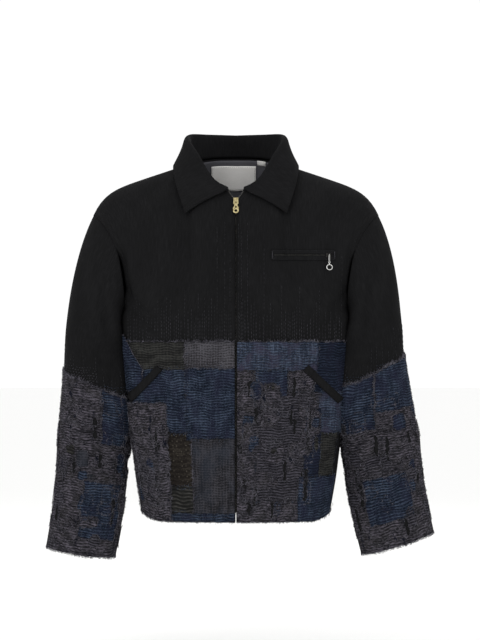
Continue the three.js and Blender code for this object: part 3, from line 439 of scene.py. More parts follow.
# A net is a fine grid of points on a panel's outer face. Cloth coordinates run along it in
# millimetres: s across, ascending with x, and t upwards.
def netNormals(points, around):
    if around:
        padded = np.concatenate([points[:, -2:-1], points, points[:, 1:2]], 1)
        along = np.gradient(padded, axis=1)[:, 1:-1]
    else:
        along = np.gradient(points, axis=1)
    return unit(np.cross(along, np.gradient(points, axis=0)))


def makeNet(name, points, sValues, tValues, around=False):
    normals = netNormals(points, around)
    heart = points.mean(axis=1, keepdims=True) * (1 if around else 0)
    outward = (points - heart)[..., :2] * normals[..., :2]
    if outward.sum() < 0:
        normals = -normals
    return {"name": name, "points": points, "normals": normals, "s": sValues, "t": tValues,
            "around": around}


def surfaceAt(net, s, t, lift=0.0):
    s, t = np.broadcast_arrays(np.asarray(s, float), np.asarray(t, float))
    sValues, tValues = net["s"], net["t"]
    if net["around"]:
        s = np.mod(s, sValues[-1])
    column = np.clip(np.searchsorted(sValues, s) - 1, 0, len(sValues) - 2)
    row = np.clip(np.searchsorted(tValues, t) - 1, 0, len(tValues) - 2)
    i = (s - sValues[column]) / (sValues[column + 1] - sValues[column])
    j = (t - tValues[row]) / (tValues[row + 1] - tValues[row])
    out = []
    for field in (net["points"], net["normals"]):
        low = field[row, column] * (1 - i)[..., None] + field[row, column + 1] * i[..., None]
        high = field[row + 1, column] * (1 - i)[..., None] + field[row + 1, column + 1] * i[..., None]
        out.append(low * (1 - j)[..., None] + high * j[..., None])
    normal = unit(out[1])
    return out[0] + normal * np.asarray(lift, float)[..., None], normal


# A crease is a soft trough (or a ridge, with a negative depth) from one place to another, as
# seen from straight ahead or behind; it fades at both ends and may bow sideways.
def creaseDepth(x, z, start, end, width, depth, bow=0.0):
    run = np.array(end, float) - np.array(start, float)
    length = math.hypot(*run)
    along = ((x - start[0]) * run[0] + (z - start[1]) * run[1]) / length ** 2
    aside = ((x - start[0]) * -run[1] + (z - start[1]) * run[0]) / length
    aside = aside - bow * 4 * along * (1 - along)
    return depth * np.exp(-(aside / width) ** 2) * bell(along / 0.3) * bell((1 - along) / 0.3)


# Creases of the body, for both sides: the face (-1 in front), the start and the end with x out from
# the centre, the width, the depth and the bow.
bodyCreases = (
    (-1, (199, -228), (128, -300), 9, 4.5, 6),
    (-1, (200, -205), (150, -262), 7, 3.5, 4),
    (-1, (196, -130), (186, -240), 9, 5.0, 5),
    (-1, (205, -100), (176, -205), 8, -2.5, -6),
    (-1, (120, -20), (186, -95), 16, 3.0, 4),
    (-1, (96, -95), (60, -215), 20, 2.6, 8),
    (-1, (150, -300), (136, -470), 15, 3.2, -5),
    (-1, (60, -280), (70, -560), 19, -2.6, 6),
    (-1, (104, -470), (96, -606), 13, 2.6, 3),
    (-1, (172, -330), (160, -520), 12, -2.5, 4),
    (1, (200, -210), (110, -330), 11, 5.0, 8),
    (1, (198, -150), (176, -270), 10, 5.0, 5),
    (1, (60, -60), (30, -330), 24, -3.0, 6),
    (1, (150, -60), (110, -210), 18, 3.2, 8),
    (1, (120, -320), (104, -590), 16, 3.6, -6),
    (1, (50, -360), (58, -600), 16, -3.0, 5),
)


def creased(face, points):
    x, z = np.abs(points[..., 0]), points[..., 2]
    depths = [1.5 * creaseDepth(x, z, *crease) for side, *crease in bodyCreases if side == face]
    # The two sides aren't quite alike.
    lean = 1 + 0.25 * np.tanh(points[..., 0] / 60) * face
    return sum(depths) * lean


def halfPanel(face, columns, lowSteps, highSteps):
    c = np.linspace(0, 1, columns + 1)
    lowLevels = np.linspace(0, 1, lowSteps + 1)
    highLevels = np.linspace(0, 1, highSteps + 1)[1:]
    _, chestLength = lowerRow(face, armpit, c)
    _, middleLength = lowerRow(face, mix(hem, armpit, 0.5), c)
    top = neckSizes["top"][face]
    openAt = frontEdge if face < 0 else (lambda z: 0.0)
    rows = []
    for level in lowLevels:
        z = mix(hem, armpit, level)
        rows.append(lowerRow(face, z, c, openAt(z))[0])
    topStart = openAt(top) / chestLength
    neckShare = mix(topStart, 1, neckSizes["share"][face])
    for q in highLevels:
        q = min(q, 1 - 0.0006)
        start = openAt(mix(armpit, top, q)) / chestLength
        rows.append(upperRow(face, q, mix(start, 1, c), neckShare))
    tValues = np.concatenate([mix(hem, armpit, lowLevels), mix(armpit, top, highLevels)])
    return np.array(rows), c * middleLength, tValues


def bodyNets():
    nets = {}
    front, s, t = halfPanel(-1, 72, 120, 80)
    mirrored = front * np.array([-1, 1, 1])
    nets["frontLeft"] = makeNet("frontLeft", front, s, t)
    nets["frontRight"] = makeNet("frontRight", mirrored[:, ::-1], -s[::-1], t)
    half, s, t = halfPanel(1, 70, 120, 84)
    whole = np.concatenate([(half * np.array([-1, 1, 1]))[:, :0:-1], half], 1)
    nets["back"] = makeNet("back", whole, np.concatenate([-s[:0:-1], s]), t)
    for name, net in nets.items():
        face = 1 if name == "back" else -1
        depth = creased(face, net["points"])
        points = net["points"] - net["normals"] * depth[..., None]
        # The hem is drawn up a little at the side seams, so its corners are round.
        corner = np.clip((np.abs(points[..., 0]) - 128) / 37, 0, 1) ** 2
        points[..., 2] += 15 * corner * (1 - bell((points[..., 2] - hem) / 90))
        nets[name] = makeNet(name, points, net["s"], net["t"])
    return nets


# Each sleeve hangs by its own middle line, from the upper arm past the elbow to the cuff. Each place
# has its centre, its half width and half depth, and its tilt in degrees.
sleeveForms = {
    "right": {"upperArm": (252, 0, -322, 48, 66, 9), "elbow": (249, -2, -478, 62, 50, 8),
              "cuff": (270, -22, -667, 60, 33, 8.5), "lap": (8, 22)},
    "left": {"upperArm": (247, 0, -322, 45, 66, 9), "elbow": (254, -4, -486, 68, 50, 12),
             "cuff": (281, -24, -652, 65, 33, 17), "lap": (16, 38)},
}
sleeveGirth = 340  # cloth coordinates run round a sleeve from its outer edge, over the front, to here
headLength = 150  # the sleeve head's share of the cloth coordinates

# Creases of the sleeves, in the same order, with x out from the jacket's middle.
sleeveCreases = {
    "right": ((-1, (240, -180), (214, -300), 8, 5.5, 4), (-1, (262, -150), (240, -330), 11, 3.0, 8),
              (-1, (214, -290), (222, -420), 7, 5.0, -4), (-1, (284, -250), (276, -420), 12, -2.5, 5),
              (-1, (212, -440), (262, -470), 7, 3.4, 4), (-1, (216, -486), (280, -520), 8, 3.8, -5),
              (-1, (236, -400), (232, -600), 11, 2.6, 6), (-1, (300, -540), (240, -580), 7, 3.2, 4),
              (-1, (226, -600), (290, -622), 7, 3.4, 4), (-1, (300, -610), (250, -645), 6, 2.6, -3),
              (1, (206, -240), (268, -330), 11, 5.0, 6), (1, (214, -420), (290, -450), 9, 5.0, 4),
              (1, (220, -470), (290, -510), 9, 5.0, -5), (1, (280, -330), (262, -600), 13, 3.0, 6)),
    "left": ((-1, (240, -170), (210, -300), 8, 5.5, 4), (-1, (264, -160), (236, -330), 11, 3.2, 8),
             (-1, (208, -280), (216, -400), 7, 5.5, -4), (-1, (290, -240), (270, -400), 12, -2.5, 5),
             (-1, (214, -450), (280, -474), 8, 3.6, 4), (-1, (222, -500), (300, -520), 8, 3.6, -5),
             (-1, (250, -390), (246, -590), 12, 2.6, 6), (-1, (318, -500), (262, -560), 8, 3.4, 4),
             (-1, (240, -586), (310, -600), 7, 3.2, 4),
             (1, (206, -240), (268, -330), 11, 5.0, 6), (1, (214, -420), (296, -450), 9, 5.0, 4),
             (1, (220, -480), (296, -520), 9, 5.0, -5), (1, (286, -330), (266, -600), 13, 3.0, 6)),
}


def sleeveNet(side, sideSign, columns=112, headSteps=50, armSteps=84):
    w = np.linspace(0, 2, columns + 1)
    turn = np.where(w <= 1, w, 2 - w)
    face = np.where(w <= 1, -1.0, 1.0)
    c, s = np.cos(math.pi * turn), np.sin(math.pi * turn)
    forms = sleeveForms[side]
    upperArm, elbow, cuff = [np.array(forms[key], float) for key in ("upperArm", "elbow", "cuff")]

    def section(form):
        x, y, z, wide, deep, tilt = form
        tilt = math.radians(tilt)
        return np.stack([x + wide * c * math.cos(tilt), y + face * deep * s,
                         z + wide * c * math.sin(tilt)], -1)

    armDepth = np.where(face < 0, armholeSizes["depth"][-1], armholeSizes["depth"][1])
    start = armholePoint(math.pi * turn, face * armDepth) + np.array([-0.8, 0, 0])
    end = section(upperArm)
    reach = np.linalg.norm(end - start, axis=-1)[:, None]
    leaving = np.stack([mix(0.4, 0.42, (1 + c) / 2), face * 0.05 * s, np.full_like(c, -0.8)], -1)
    a = start + leaving * reach / 3
    b = end + np.array([-1.0, 0, 0]) + np.array([0, 0, 0.25]) * reach
    rows = []
    for k in np.linspace(0, 1, headSteps + 1):
        late = 1 - k
        rows.append(late ** 3 * start + 3 * k * late ** 2 * a + 3 * k * k * late * b + k ** 3 * end)
    tValues = list(upperArm[2] + headLength * (1 - np.linspace(0, 1, headSteps + 1)))
    for k in np.linspace(0, 2, armSteps + 1)[1:]:
        low, high, share = (upperArm, elbow, k) if k <= 1 else (elbow, cuff, k - 1)
        form = mix(low, high, share)
        form[0] -= 4 * math.sin(math.pi * share) * (0.5 if k <= 1 else 1)
        rows.append(section(form))
        tValues.append(form[2])
    points = np.array(rows)
    for _ in range(6):  # softens the bends at the upper arm and the elbow
        points[1:-1] = (points[:-2] + 2 * points[1:-1] + points[2:]) / 4
    v = np.linspace(0, 1, len(points))[:, None]
    net = makeNet(side, points, w, np.arange(len(points)), around=True)
    trough = -6 * bump(turn, 0.66, 0.1) * bump(v, 0.34, 0.2)
    elbowFold = 3 * bump(turn, 0.45, 0.3) * (bump(v, 0.66, 0.05) - bump(v, 0.74, 0.04))
    cuffFold = 3 * bump(turn, 0.55, 0.25) * (bump(v, 0.88, 0.03) - bump(v, 0.82, 0.03))
    depth = -np.where(face < 0, trough + elbowFold + cuffFold, trough + 2 * elbowFold)
    for creaseFace, startPlace, endPlace, width, fall, bow in sleeveCreases[side]:
        there = creaseDepth(points[..., 0], points[..., 2], startPlace, endPlace, width, 1.5 * fall, bow)
        depth = depth + np.where(face == creaseFace, there, 0) * np.minimum(1, s * 2)
    # The sleeve rests against the body from the armpit to below the hand pocket.
    inner = points[:, columns // 2]
    bodyEdge = mix(bodySizes["hemHalf"], bodySizes["chestHalf"], riseOf(inner[:, 2]) ** 0.85)
    lap, forward = forms["lap"]
    lying = bell((inner[:, 2] + 520) / 110) * bell((armpit + 10 - inner[:, 2]) / 50)
    gap = np.maximum(inner[:, 0] - bodyEdge + lap, 0) * lying
    beside = bump(turn, 1, 0.3)
    points = points - net["normals"] * (depth * (1 - beside * (gap > 0)[:, None]))[..., None]
    points[..., 0] -= gap[:, None] * beside
    points[..., 1] -= forward * lying[:, None] * beside
    # The front of the cuff hangs a little lower than its sides.
    points[..., 2] -= 6 * np.where(face < 0, s, 0) * v ** 6
    points[:, -1] = points[:, 0]
    points = (points * np.array([sideSign, 1, 1]))[::-1]
    sValues, tValues = w * sleeveGirth / 2, np.array(tValues)[::-1]
    return makeNet("sleeve" + side.title(), points, sValues, tValues, around=True)


nets = bodyNets()
nets["sleeveRight"] = sleeveNet("right", -1)
nets["sleeveLeft"] = sleeveNet("left", 1)
print("forms ready")


def newObject(name, vertices, faces, material, uv=None, smooth=True):
    mesh = bpy.data.meshes.new(name)
    vertices = np.asarray(vertices, float) * mm
    mesh.from_pydata([tuple(p) for p in vertices], [], [tuple(f) for f in faces])
    if uv is not None:
        layer = mesh.uv_layers.new(name="cloth")
        loops = np.empty(len(mesh.loops), int)
        mesh.loops.foreach_get("vertex_index", loops)
        layer.data.foreach_set("uv", (np.asarray(uv) * mm)[loops].ravel())
    mesh.polygons.foreach_set("use_smooth", [smooth] * len(mesh.polygons))
    mesh.materials.append(material)
    mesh.update()
    made = bpy.data.objects.new(name, mesh)
    bpy.context.scene.collection.objects.link(made)
    return made


# The faces of a closed wall over a grid: its outer and inner sides and its rims.
def wallFaces(rows, columns, around, flip):
    spans = columns if around else columns - 1
    r, c = np.meshgrid(np.arange(rows - 1), np.arange(spans), indexing="ij")
    r, c = r.ravel(), c.ravel()
    beside = (c + 1) % columns
    a, b, d, e = r * columns + c, r * columns + beside, (r + 1) * columns + beside, (r + 1) * columns + c
    half = rows * columns
    faces = [np.stack([a, b, d, e], 1), np.stack([a, e, d, b], 1) + half]
    c, beside = c[:spans], beside[:spans]
    last = (rows - 1) * columns
    faces.append(np.stack([c, c + half, beside + half, beside], 1))
    faces.append(np.stack([c + last, beside + last, beside + last + half, c + last + half], 1))
    if not around:
        r = np.arange(rows - 1) * columns
        faces.append(np.stack([r, r + columns, r + columns + half, r + half], 1))
        r = r + columns - 1
        faces.append(np.stack([r, r + half, r + columns + half, r + columns], 1))
    faces = np.concatenate(faces)
    return faces[:, ::-1] if flip else faces


def rowWave(s, t):
    return 1.1 * np.sin(s / 9 + 1.3 * np.sin(t / 21)) + 0.6 * np.sin(s / 4.1 + t / 13)


def clothUv(s, t):
    return np.stack([s + 0.5 * np.sin(t / 7), t + rowWave(s, t)], -1)


# Closed thin walls over a net, joined in one piece. Each has a grid of cloth coordinates and a lift.
def layWalls(name, net, grids, thickness, material, around=False):
    vertices, faces, uvs, count = [], [], [], 0
    for s, t, lift in grids:
        outer, normals = surfaceAt(net, s, t, lift)
        r, c = s.shape[0] // 2, s.shape[1] // 2
        turned = np.cross(outer[r, c + 1] - outer[r, c], outer[r + 1, c] - outer[r, c])
        faces.append(wallFaces(*s.shape, around, np.dot(turned, normals[r, c]) < 0) + count)
        vertices += [outer.reshape(-1, 3), (outer - normals * thickness).reshape(-1, 3)]
        uvs += 2 * [clothUv(s, t).reshape(-1, 2)]
        count += 2 * s.size
    return newObject(name, np.concatenate(vertices), np.concatenate(faces), material, np.concatenate(uvs))


def layOn(name, net, s, t, lift, thickness, material, around=False):
    return layWalls(name, net, [(s, t, lift)], thickness, material, around)


def lattice(sLow, sHigh, tLow, tHigh, step):
    columns = max(3, round((sHigh - sLow) / step))
    rows = max(3, round((tHigh - tLow) / step))
    return np.meshgrid(np.linspace(sLow, sHigh, columns + 1), np.linspace(tLow, tHigh, rows + 1))


# Stitches and frays are gathered for each panel and colour, and joined at the end.
gathered = {}


def gather(key, vertices, faces):
    store = gathered.setdefault(key, {"vertices": [], "faces": [], "count": 0})
    store["vertices"].append(vertices)
    store["faces"].append(faces + store["count"])
    store["count"] += len(vertices)


spindleFaces = np.array([[0, 2, 3], [0, 3, 4], [0, 4, 2], [1, 3, 2], [1, 4, 3], [1, 2, 4]])


def gatherSpindles(net, thread, *corners):
    count = len(corners[0])
    faces = (spindleFaces[None] + (np.arange(count) * 5)[:, None, None]).reshape(-1, 3)
    gather((net["name"], thread), np.stack(corners, 1).reshape(-1, 3), faces)


# Straight stitches from `starts` to `ends` in cloth coordinates, each a three-sided spindle.
def addStitches(net, starts, ends, thread, width=0.8, height=0.5, lift=1.0):
    if not len(starts):
        return
    a, b = [surfaceAt(net, *tips.T, lift - 0.2)[0] for tips in (starts, ends)]
    heart, normal = surfaceAt(net, *((starts + ends) / 2).T, lift)
    side = unit(np.cross(b - a, normal)) * width / 2
    foot = heart - normal * 0.1
    gatherSpindles(net, thread, a, b, heart + normal * height, foot + side, foot - side)


# The stitches along a line of cloth coordinates.
def runningStitches(line, stitch, gap, phase=0.0):
    run = runOf(line)
    at = np.arange(phase, run[-1] - stitch, stitch + gap)
    return alongLine(at, run, line), alongLine(at + stitch, run, line)


# Loose thread ends: each is a bent spindle through three places in cloth coordinates.
def addHairs(net, places, lifts, thread, thick):
    if not len(places):
        return
    points, normals = surfaceAt(net, places[..., 0], places[..., 1], lifts)
    up = normals[:, 1]
    side = unit(np.cross(points[:, 2] - points[:, 0], up))
    ring = [points[:, 1] + thick * (up * math.cos(angle) + side * math.sin(angle))
            for angle in (0, 2 * math.pi / 3, 4 * math.pi / 3)]
    gatherSpindles(net, thread, points[:, 0], points[:, 2], *ring)


# Frays an edge given by its places and the directions away from the cloth.
def frayEdge(net, edge, outward, lift, rng, density, length, colours=("paleThread", "greyThread")):
    run = runOf(edge)
    for thread, share in zip(colours, (0.55, 0.45)):
        count = int(run[-1] * density * share)
        at = rng.uniform(0, run[-1], count)
        start, away = alongLine(at, run, edge), unit(alongLine(at, run, outward))
        aside = np.stack([-away[:, 1], away[:, 0]], 1)
        reach = rng.uniform(*length, count)[:, None] * rng.uniform(0.4, 1, (count, 1))
        lean = rng.normal(0, 0.55, (count, 1))
        places = [start + reach * (away * out + aside * lean * curl)
                  for out, curl in ((-0.25, 0), (0.5, 0.3), (1, 1))]
        rise = [np.full(count, 0.1), rng.uniform(0.2, 1.0, count), rng.uniform(-0.2, 1.8, count)]
        addHairs(net, np.stack(places, 1), lift + np.stack(rise, 1), thread, 0.34)
        # Threads that have come away lie along the edge.
        count = int(run[-1] * density * share * 0.35)
        at, reach = rng.uniform(0, run[-1], count), rng.uniform(3, 9, count)
        offset = rng.normal(0.2, 0.9, (count, 3))
        places = []
        for k in range(3):
            there = at + reach * (k / 2 - 0.5)
            places.append(alongLine(there, run, edge) + alongLine(there, run, outward) * offset[:, k:k + 1])
        addHairs(net, np.stack(places, 1), lift + rng.uniform(0.2, 0.8, (count, 3)), thread, 0.4)


def wobble(rng, x):
    total = np.zeros_like(x, float)
    for wave, size in ((47, 0.5), (19, 0.4), (9, 0.3), (5.3, 0.22)):
        total += size * np.sin(x * 2 * math.pi / (wave * rng.uniform(0.8, 1.25)) + rng.uniform(0, 6.3))
    return total


def raggedGrid(rng, sLow, sHigh, tLow, tHigh, step, rough, roundness=0.0):
    columns = max(3, round((sHigh - sLow) / step))
    rows = max(3, round((tHigh - tLow) / step))
    i, j = np.meshgrid(np.linspace(0, 1, columns + 1), np.linspace(0, 1, rows + 1))
    along, up = mix(sLow, sHigh, i[0]), mix(tLow, tHigh, j[:, 0])
    left = sLow + rough * wobble(rng, up)
    right = sHigh + rough * wobble(rng, up)
    corner = roundness * (tHigh - tLow) * np.abs(2 * i[0] - 1) ** 3
    low = tLow + rough * wobble(rng, along) + corner
    high = tHigh + rough * wobble(rng, along) - corner
    s = left[:, None] * (1 - i) + right[:, None] * i
    t = low[None] * (1 - j) + high[None] * j
    rim = np.zeros_like(s, bool)
    rim[[0, -1]] = True
    rim[:, [0, -1]] = True
    s = s + np.where(rim, rng.uniform(-0.25, 0.25, s.shape) * step, 0) * min(rough, 1)
    t = t + np.where(rim, rng.uniform(-0.25, 0.25, s.shape) * step, 0) * min(rough, 1)
    return s, t


# The four edges of a grid, each with the directions away from it.
def edgesOf(s, t):
    def edge(row, column, away):
        line = np.stack([s[row, column], t[row, column]], 1)
        return line, np.tile(np.array(away, float), (len(line), 1))

    return {"low": edge(0, slice(None), (0, -1)), "high": edge(-1, slice(None), (0, 1)),
            "left": edge(slice(None), 0, (-1, 0)), "right": edge(slice(None), -1, (1, 0))}


# Rows of running stitches across a patch, on the rows of its puckers, or upright lines of them.
def quiltRows(net, sLow, sHigh, tLow, tHigh, lift, thread, rng, pitch=rowPitch, upright=False,
              missing=0.08):
    stitch, gap = 3.0, 1.9
    (low, high), (start, end) = ((sLow, sHigh), (tLow, tHigh))[::1 if upright else -1]
    run = np.arange(start + 1, end - 1, 3.0)
    for at in np.arange(math.ceil(low / pitch) * pitch + upright, high - (1 if upright else 0.6), pitch):
        if len(run) < 3 or at < low + 0.6 and not upright:
            continue
        line = (at + 0.4 * np.sin(run / 9), run) if upright else (run, at - rowWave(run, at))
        starts, ends = runningStitches(np.stack(line, 1), stitch, gap, rng.uniform(0, stitch + gap))
        keep = rng.uniform(0, 1, len(starts)) > missing
        addStitches(net, starts[keep], ends[keep], thread, 0.75, 0.45, lift)


pieces = {name: [] for name in nets}  # what goes with each panel


def sewOn(piece, net, slot, *nodes):
    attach(piece, "jacket")
    if nodes:
        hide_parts(*nodes)
    pieces[net["name"]].append(piece)
    return piece


# The reach of a CAD patch in cloth coordinates: a front or back widens upwards, so its outer
# edge is furthest out along its top row, and its inner edge is nearest the middle at its foot.
def reachOf(node, net):
    low, high = [np.array(corner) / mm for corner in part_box(node)]
    bottomRow = np.searchsorted(net["t"], low[2])
    topRow = min(np.searchsorted(net["t"], high[2]), len(net["t"]) - 1)
    ends = []
    for x, outer in ((low[0], low[0] < 0), (high[0], high[0] > 0)):
        row = net["points"][topRow if outer else bottomRow]
        ends.append(float(np.interp(x, row[:, 0], net["s"])))
    return ends[0], ends[1], low[2], high[2]


patchLift, patchWall = 0.9, 0.6
# How far the left and right edges of some patches creep as the cloth is worn.
creep = {"patch_right_striped": (-9, 0), "patch_right_dotted": (-2, 8), "patch_right_ribbed": (-2, 9),
         "patch_right_check": (9, 0), "patch_left_side_navy": (13, 0), "patch_left_frayed": (0, 13),
         "patch_left_navy": (0, 50)}
sag = {"patch_left_small_navy": 22, "patch_left_navy": 5}  # how far the foot of some patches comes down
lapped = ("patch_right_frayed", "patch_left_dark_column", "patch_left_hem_navy", "patch_right_side_navy",
          "patch_left_navy", "patch_left_small_navy")  # these lie over the ones beside them
looseEdges = (("patch_right_side_navy", "right"), ("patch_right_check", "left"))
# Each patch: its cloth, its stitching thread and how it is stitched.
patchLooks = {
    "patch_right_side_navy": ("navyCotton", "blueThread", "rows"),
    "patch_right_striped": ("stripedOlive", "dimThread", "few"),
    "patch_right_grey": ("paleGrey", "paleThread", "uprights"),
    "patch_right_navy": ("navyCotton", "blueThread", "rows"),
    "patch_right_quilted_navy": ("navyCotton", "blueThread", "both"),
    "patch_right_frayed": ("frayedGrey", "greyThread", "few"),
    "patch_right_dotted": ("dottedBrown", "greyThread", "none"),
    "patch_right_ribbed": ("ribbedOlive", "greyThread", "none"),
    "patch_right_check": ("checkedGrey", "greyThread", "uprights"),
    "patch_right_hem_navy": ("navyCotton", "blueThread", "rows"),
    "patch_left_navy": ("paleNavyCotton", "greyThread", "both"),
    "patch_left_column": ("frayedGrey", "paleThread", "rows"),
    "patch_left_small_navy": ("navyCotton", "blueThread", "rows"),
    "patch_left_frayed": ("frayedGrey", "paleThread", "rows"),
    "patch_left_quilted": ("quiltedGrey", "greyThread", "rows"),
    "patch_left_side_navy": ("deepNavyCotton", "blueThread", "few"),
    "patch_left_dark_column": ("deepNavyCotton", "blueThread", "few"),
    "patch_left_speckled": ("paleNavyCotton", "greyThread", "rows"),
    "patch_left_olive": ("stripedOlive", "greyThread", "few"),
    "patch_left_hem_navy": ("navyCotton", "blueThread", "rows"),
    "patch_left_hem_grey": ("frayedGrey", "greyThread", "rows"),
    "patch_back_upper_left": ("navyCotton", "blueThread", "rows"),
    "patch_back_upper_middle": ("paleGrey", "greyThread", "uprights"),
    "patch_back_upper_right": ("stripedOlive", "greyThread", "few"),
    "patch_back_lower_left": ("frayedGrey", "paleThread", "rows"),
    "patch_back_lower_middle": ("navyCotton", "blueThread", "both"),
    "patch_back_lower_right": ("checkedGrey", "greyThread", "uprights"),
}
slotCloths = {"navy_cloth": ("navyCotton", "deepNavyCotton", "paleNavyCotton"),
              "grey_cloth": ("frayedGrey", "quiltedGrey", "paleGrey", "checkedGrey"),
              "olive_cloth": ("stripedOlive", "dottedBrown", "ribbedOlive"), "black_denim": ("blackTwill",)}
slotOf = {cloth: slot for slot, names in slotCloths.items() for cloth in names}
panelOf = {"right": "frontRight", "left": "frontLeft", "back": "back"}


def pieceName(node):
    words = node.split("_")
    return words[0] + "".join(word.title() for word in words[1:])


# The rows and upright lines of each way to stitch a patch.
stitchings = {
    "rows": ({},), "few": ({"pitch": 13.8, "missing": 0.3},), "none": (),
    "uprights": ({"pitch": 8.4, "upright": True, "missing": 0.15},),
    "both": ({}, {"pitch": 11, "upright": True, "missing": 0.15}),
}


def stitchPatch(net, reach, lift, thread, how, rng):
    for lines in stitchings[how]:
        quiltRows(net, *reach, lift, thread, rng, **lines)


for number, (node, (cloth, thread, how)) in enumerate(patchLooks.items()):
    net = nets[panelOf[node.split("_")[1]]]
    rng = np.random.default_rng(100 + number)
    sLow, sHigh, tLow, tHigh = reachOf(node, net)
    if net["name"] != "back":  # those beside the zip reach the placket's edge
        sLow = net["s"][0] if 0 < sLow < 12 else sLow
        sHigh = net["s"][-1] if -12 < sHigh < 0 else sHigh
    sLow, sHigh = np.add((sLow, sHigh), creep.get(node, (0, 0)))
    tLow -= sag.get(node, 0)
    lift = patchLift + 0.45 * (number % 3) + (1.5 if node in lapped else 0)
    grow = 1.6  # a patch is this much larger than its node on each side, and so overlaps the next
    sEnds = (max(sLow - grow, net["s"][0] + 0.5), min(sHigh + grow, net["s"][-1] - 0.5))
    foot = max(tLow - grow, hem + 0.5)
    rough = 0.7 if cloth in ("navyCotton", "checkedGrey", "stripedOlive", "dottedBrown") else 1.3
    s, t = raggedGrid(rng, *sEnds, foot, tHigh + grow, 3.3, rough)
    s = np.clip(s, net["s"][0] + 1.5, net["s"][-1] - 1.5)
    t = np.maximum(t, hem + 0.2)
    if node == "patch_right_side_navy":  # its free edge slants away from the side seam
        s = sEnds[0] + (s - sEnds[0]) * mix(0.62, 1.3, np.clip((-292 - t) / 56, 0, 1))
    top = lift + patchWall
    piece = layOn(pieceName(node), net, s, t, top, patchWall, cloths[cloth])
    sewOn(piece, net, slotOf[cloth], node)
    stitchPatch(net, (sEnds[0], sEnds[1], foot, tHigh), top + 0.15, thread, how, rng)
    density = {"frayedGrey": 1.1, "paleGrey": 0.8}.get(cloth, 0.35)
    gauzy = density > 0.5
    for side, (edge, away) in edgesOf(s, t).items():
        atTop, loose = side == "high" and tHigh > -310, (node, side) in looseEdges
        if loose:  # a pale warp thread has come away along this edge
            addStitches(net, *runningStitches(edge + away * 0.6, 7, 0.2), "paleThread", 1.3, 0.8, top + 0.2)
        if net["name"] != "back" and np.abs(edge[:, 0]).max() < 5:
            continue  # turned in along the zip
        colours = ("paleThread", "greyThread") if atTop or loose or gauzy else ("greyThread", "blueThread")
        frayed = (1.7 if gauzy else 0.9) if atTop or loose else density
        frayEdge(net, edge, away, top, rng, frayed, (2, 7) if atTop else (1.5, 6), colours)
print("patches ready")

# Scraps are the small layered pieces of the most worn parts. Each zone: its panel, its reach in
# cloth coordinates, how many scraps it has, and how high they lie.
scrapZones = {
    "leftFront": ("frontLeft", (2.5, 150), (-606, -362), 70, 3.0),
    "leftColumn": ("frontLeft", (2.5, 34), (-600, -352), 16, 2.2),
    "rightSide": ("frontRight", (-212, -124), (-606, -415), 30, 3.4),
    "backLeft": ("back", (60, 200), (-606, -425), 40, 2.4),
    "sleeveRight": ("sleeveRight", (0, 340), (-655, -385), 118, 1.7),
    "sleeveLeft": ("sleeveLeft", (0, 340), (-640, -375), 112, 1.7),
}
# Each kind of scrap: its share, its cloth, its least and greatest width and height, how round its
# corners are, and how densely its edges fray.
scrapKinds = {
    "wornGrey": {"share": 0.34, "cloth": "frayedGrey", "width": (10, 34), "height": (12, 46), "round": 0.12,
                 "fray": 0.7},
    "evenGrey": {"share": 0.2, "cloth": "quiltedGrey", "width": (10, 30), "height": (10, 34), "round": 0.3,
                 "fray": 1.0},
    "slit": {"share": 0.26, "cloth": "blackTwill", "width": (3.5, 8), "height": (14, 46), "round": 0.1,
             "fray": 0.5},
    "navy": {"share": 0.1, "cloth": "navyCotton", "width": (10, 24), "height": (12, 34), "round": 0.15,
             "fray": 0.45},
    "olive": {"share": 0.05, "cloth": "ribbedOlive", "width": (8, 18), "height": (12, 34), "round": 0.15,
              "fray": 0.5},
    "check": {"share": 0.05, "cloth": "checkedGrey", "width": (8, 20), "height": (12, 34), "round": 0.1,
              "fray": 0.5},
}


# The grey cloth that covers each lower sleeve starts along a slanting frayed line, which runs
# from the outer edge (s = 0) over the front to the inner edge (s = girth / 2) and back.
sleeveCover = {"sleeveRight": {"outer": -364, "inner": -398}, "sleeveLeft": {"outer": -336, "inner": -376}}


def coverTop(name, s):
    cover = sleeveCover[name]
    return mix(cover["outer"], cover["inner"], (1 - np.cos(2 * math.pi * s / sleeveGirth)) / 2)


for name in sleeveCover:
    net = nets[name]
    rng = np.random.default_rng(31 if name == "sleeveRight" else 32)
    s = np.linspace(0, sleeveGirth, 101)[:-1]
    jagged = 2.6 * wobble(rng, s)
    jagged += (jagged[0] - jagged[-1]) * s / sleeveGirth
    topLine = coverTop(name, s) + jagged
    if name == "sleeveRight":  # the cover stops short down the inside of this arm: a strip of bare black cloth, mostly painted shade
        bareClothAndShadeStrip = bell(1 - (np.abs(s - sleeveGirth / 2) - 20) / 5)
        topLine = mix(topLine, -524, bareClothAndShadeStrip)
    foot = net["t"][0] + 0.8 * wobble(rng, s) * np.minimum(1, (sleeveGirth - s) / 20)
    j = np.linspace(0, 1, 76)[:, None]
    rows = mix(foot, topLine, j)
    columns = np.broadcast_to(s, rows.shape)
    piece = layOn(name + "Cover", net, columns, rows, 1.3, patchWall, cloths["frayedGrey"], around=True)
    sewOn(piece, net, "grey_cloth")
    edge = np.stack([s, topLine], 1)
    up = np.tile(np.array([0.0, 1.0]), (len(s), 1))
    frayEdge(net, edge, up, 1.3, rng, 2.2, (3, 11))
    frayEdge(net, edge - np.array([0, 2.0]), up, 1.5, rng, 1.6, (2, 8))
    edge = np.stack([s, foot], 1)
    frayEdge(net, edge, -up, 0.8, rng, 2.4, (2, 6.5))
    quiltRows(net, 0, sleeveGirth, net["t"][0] + 4, min(topLine) - 4, 1.45, "greyThread", rng, missing=0.35)


def threadOn(cloth):
    return "blueThread" if cloth == "navyCotton" else "greyThread"


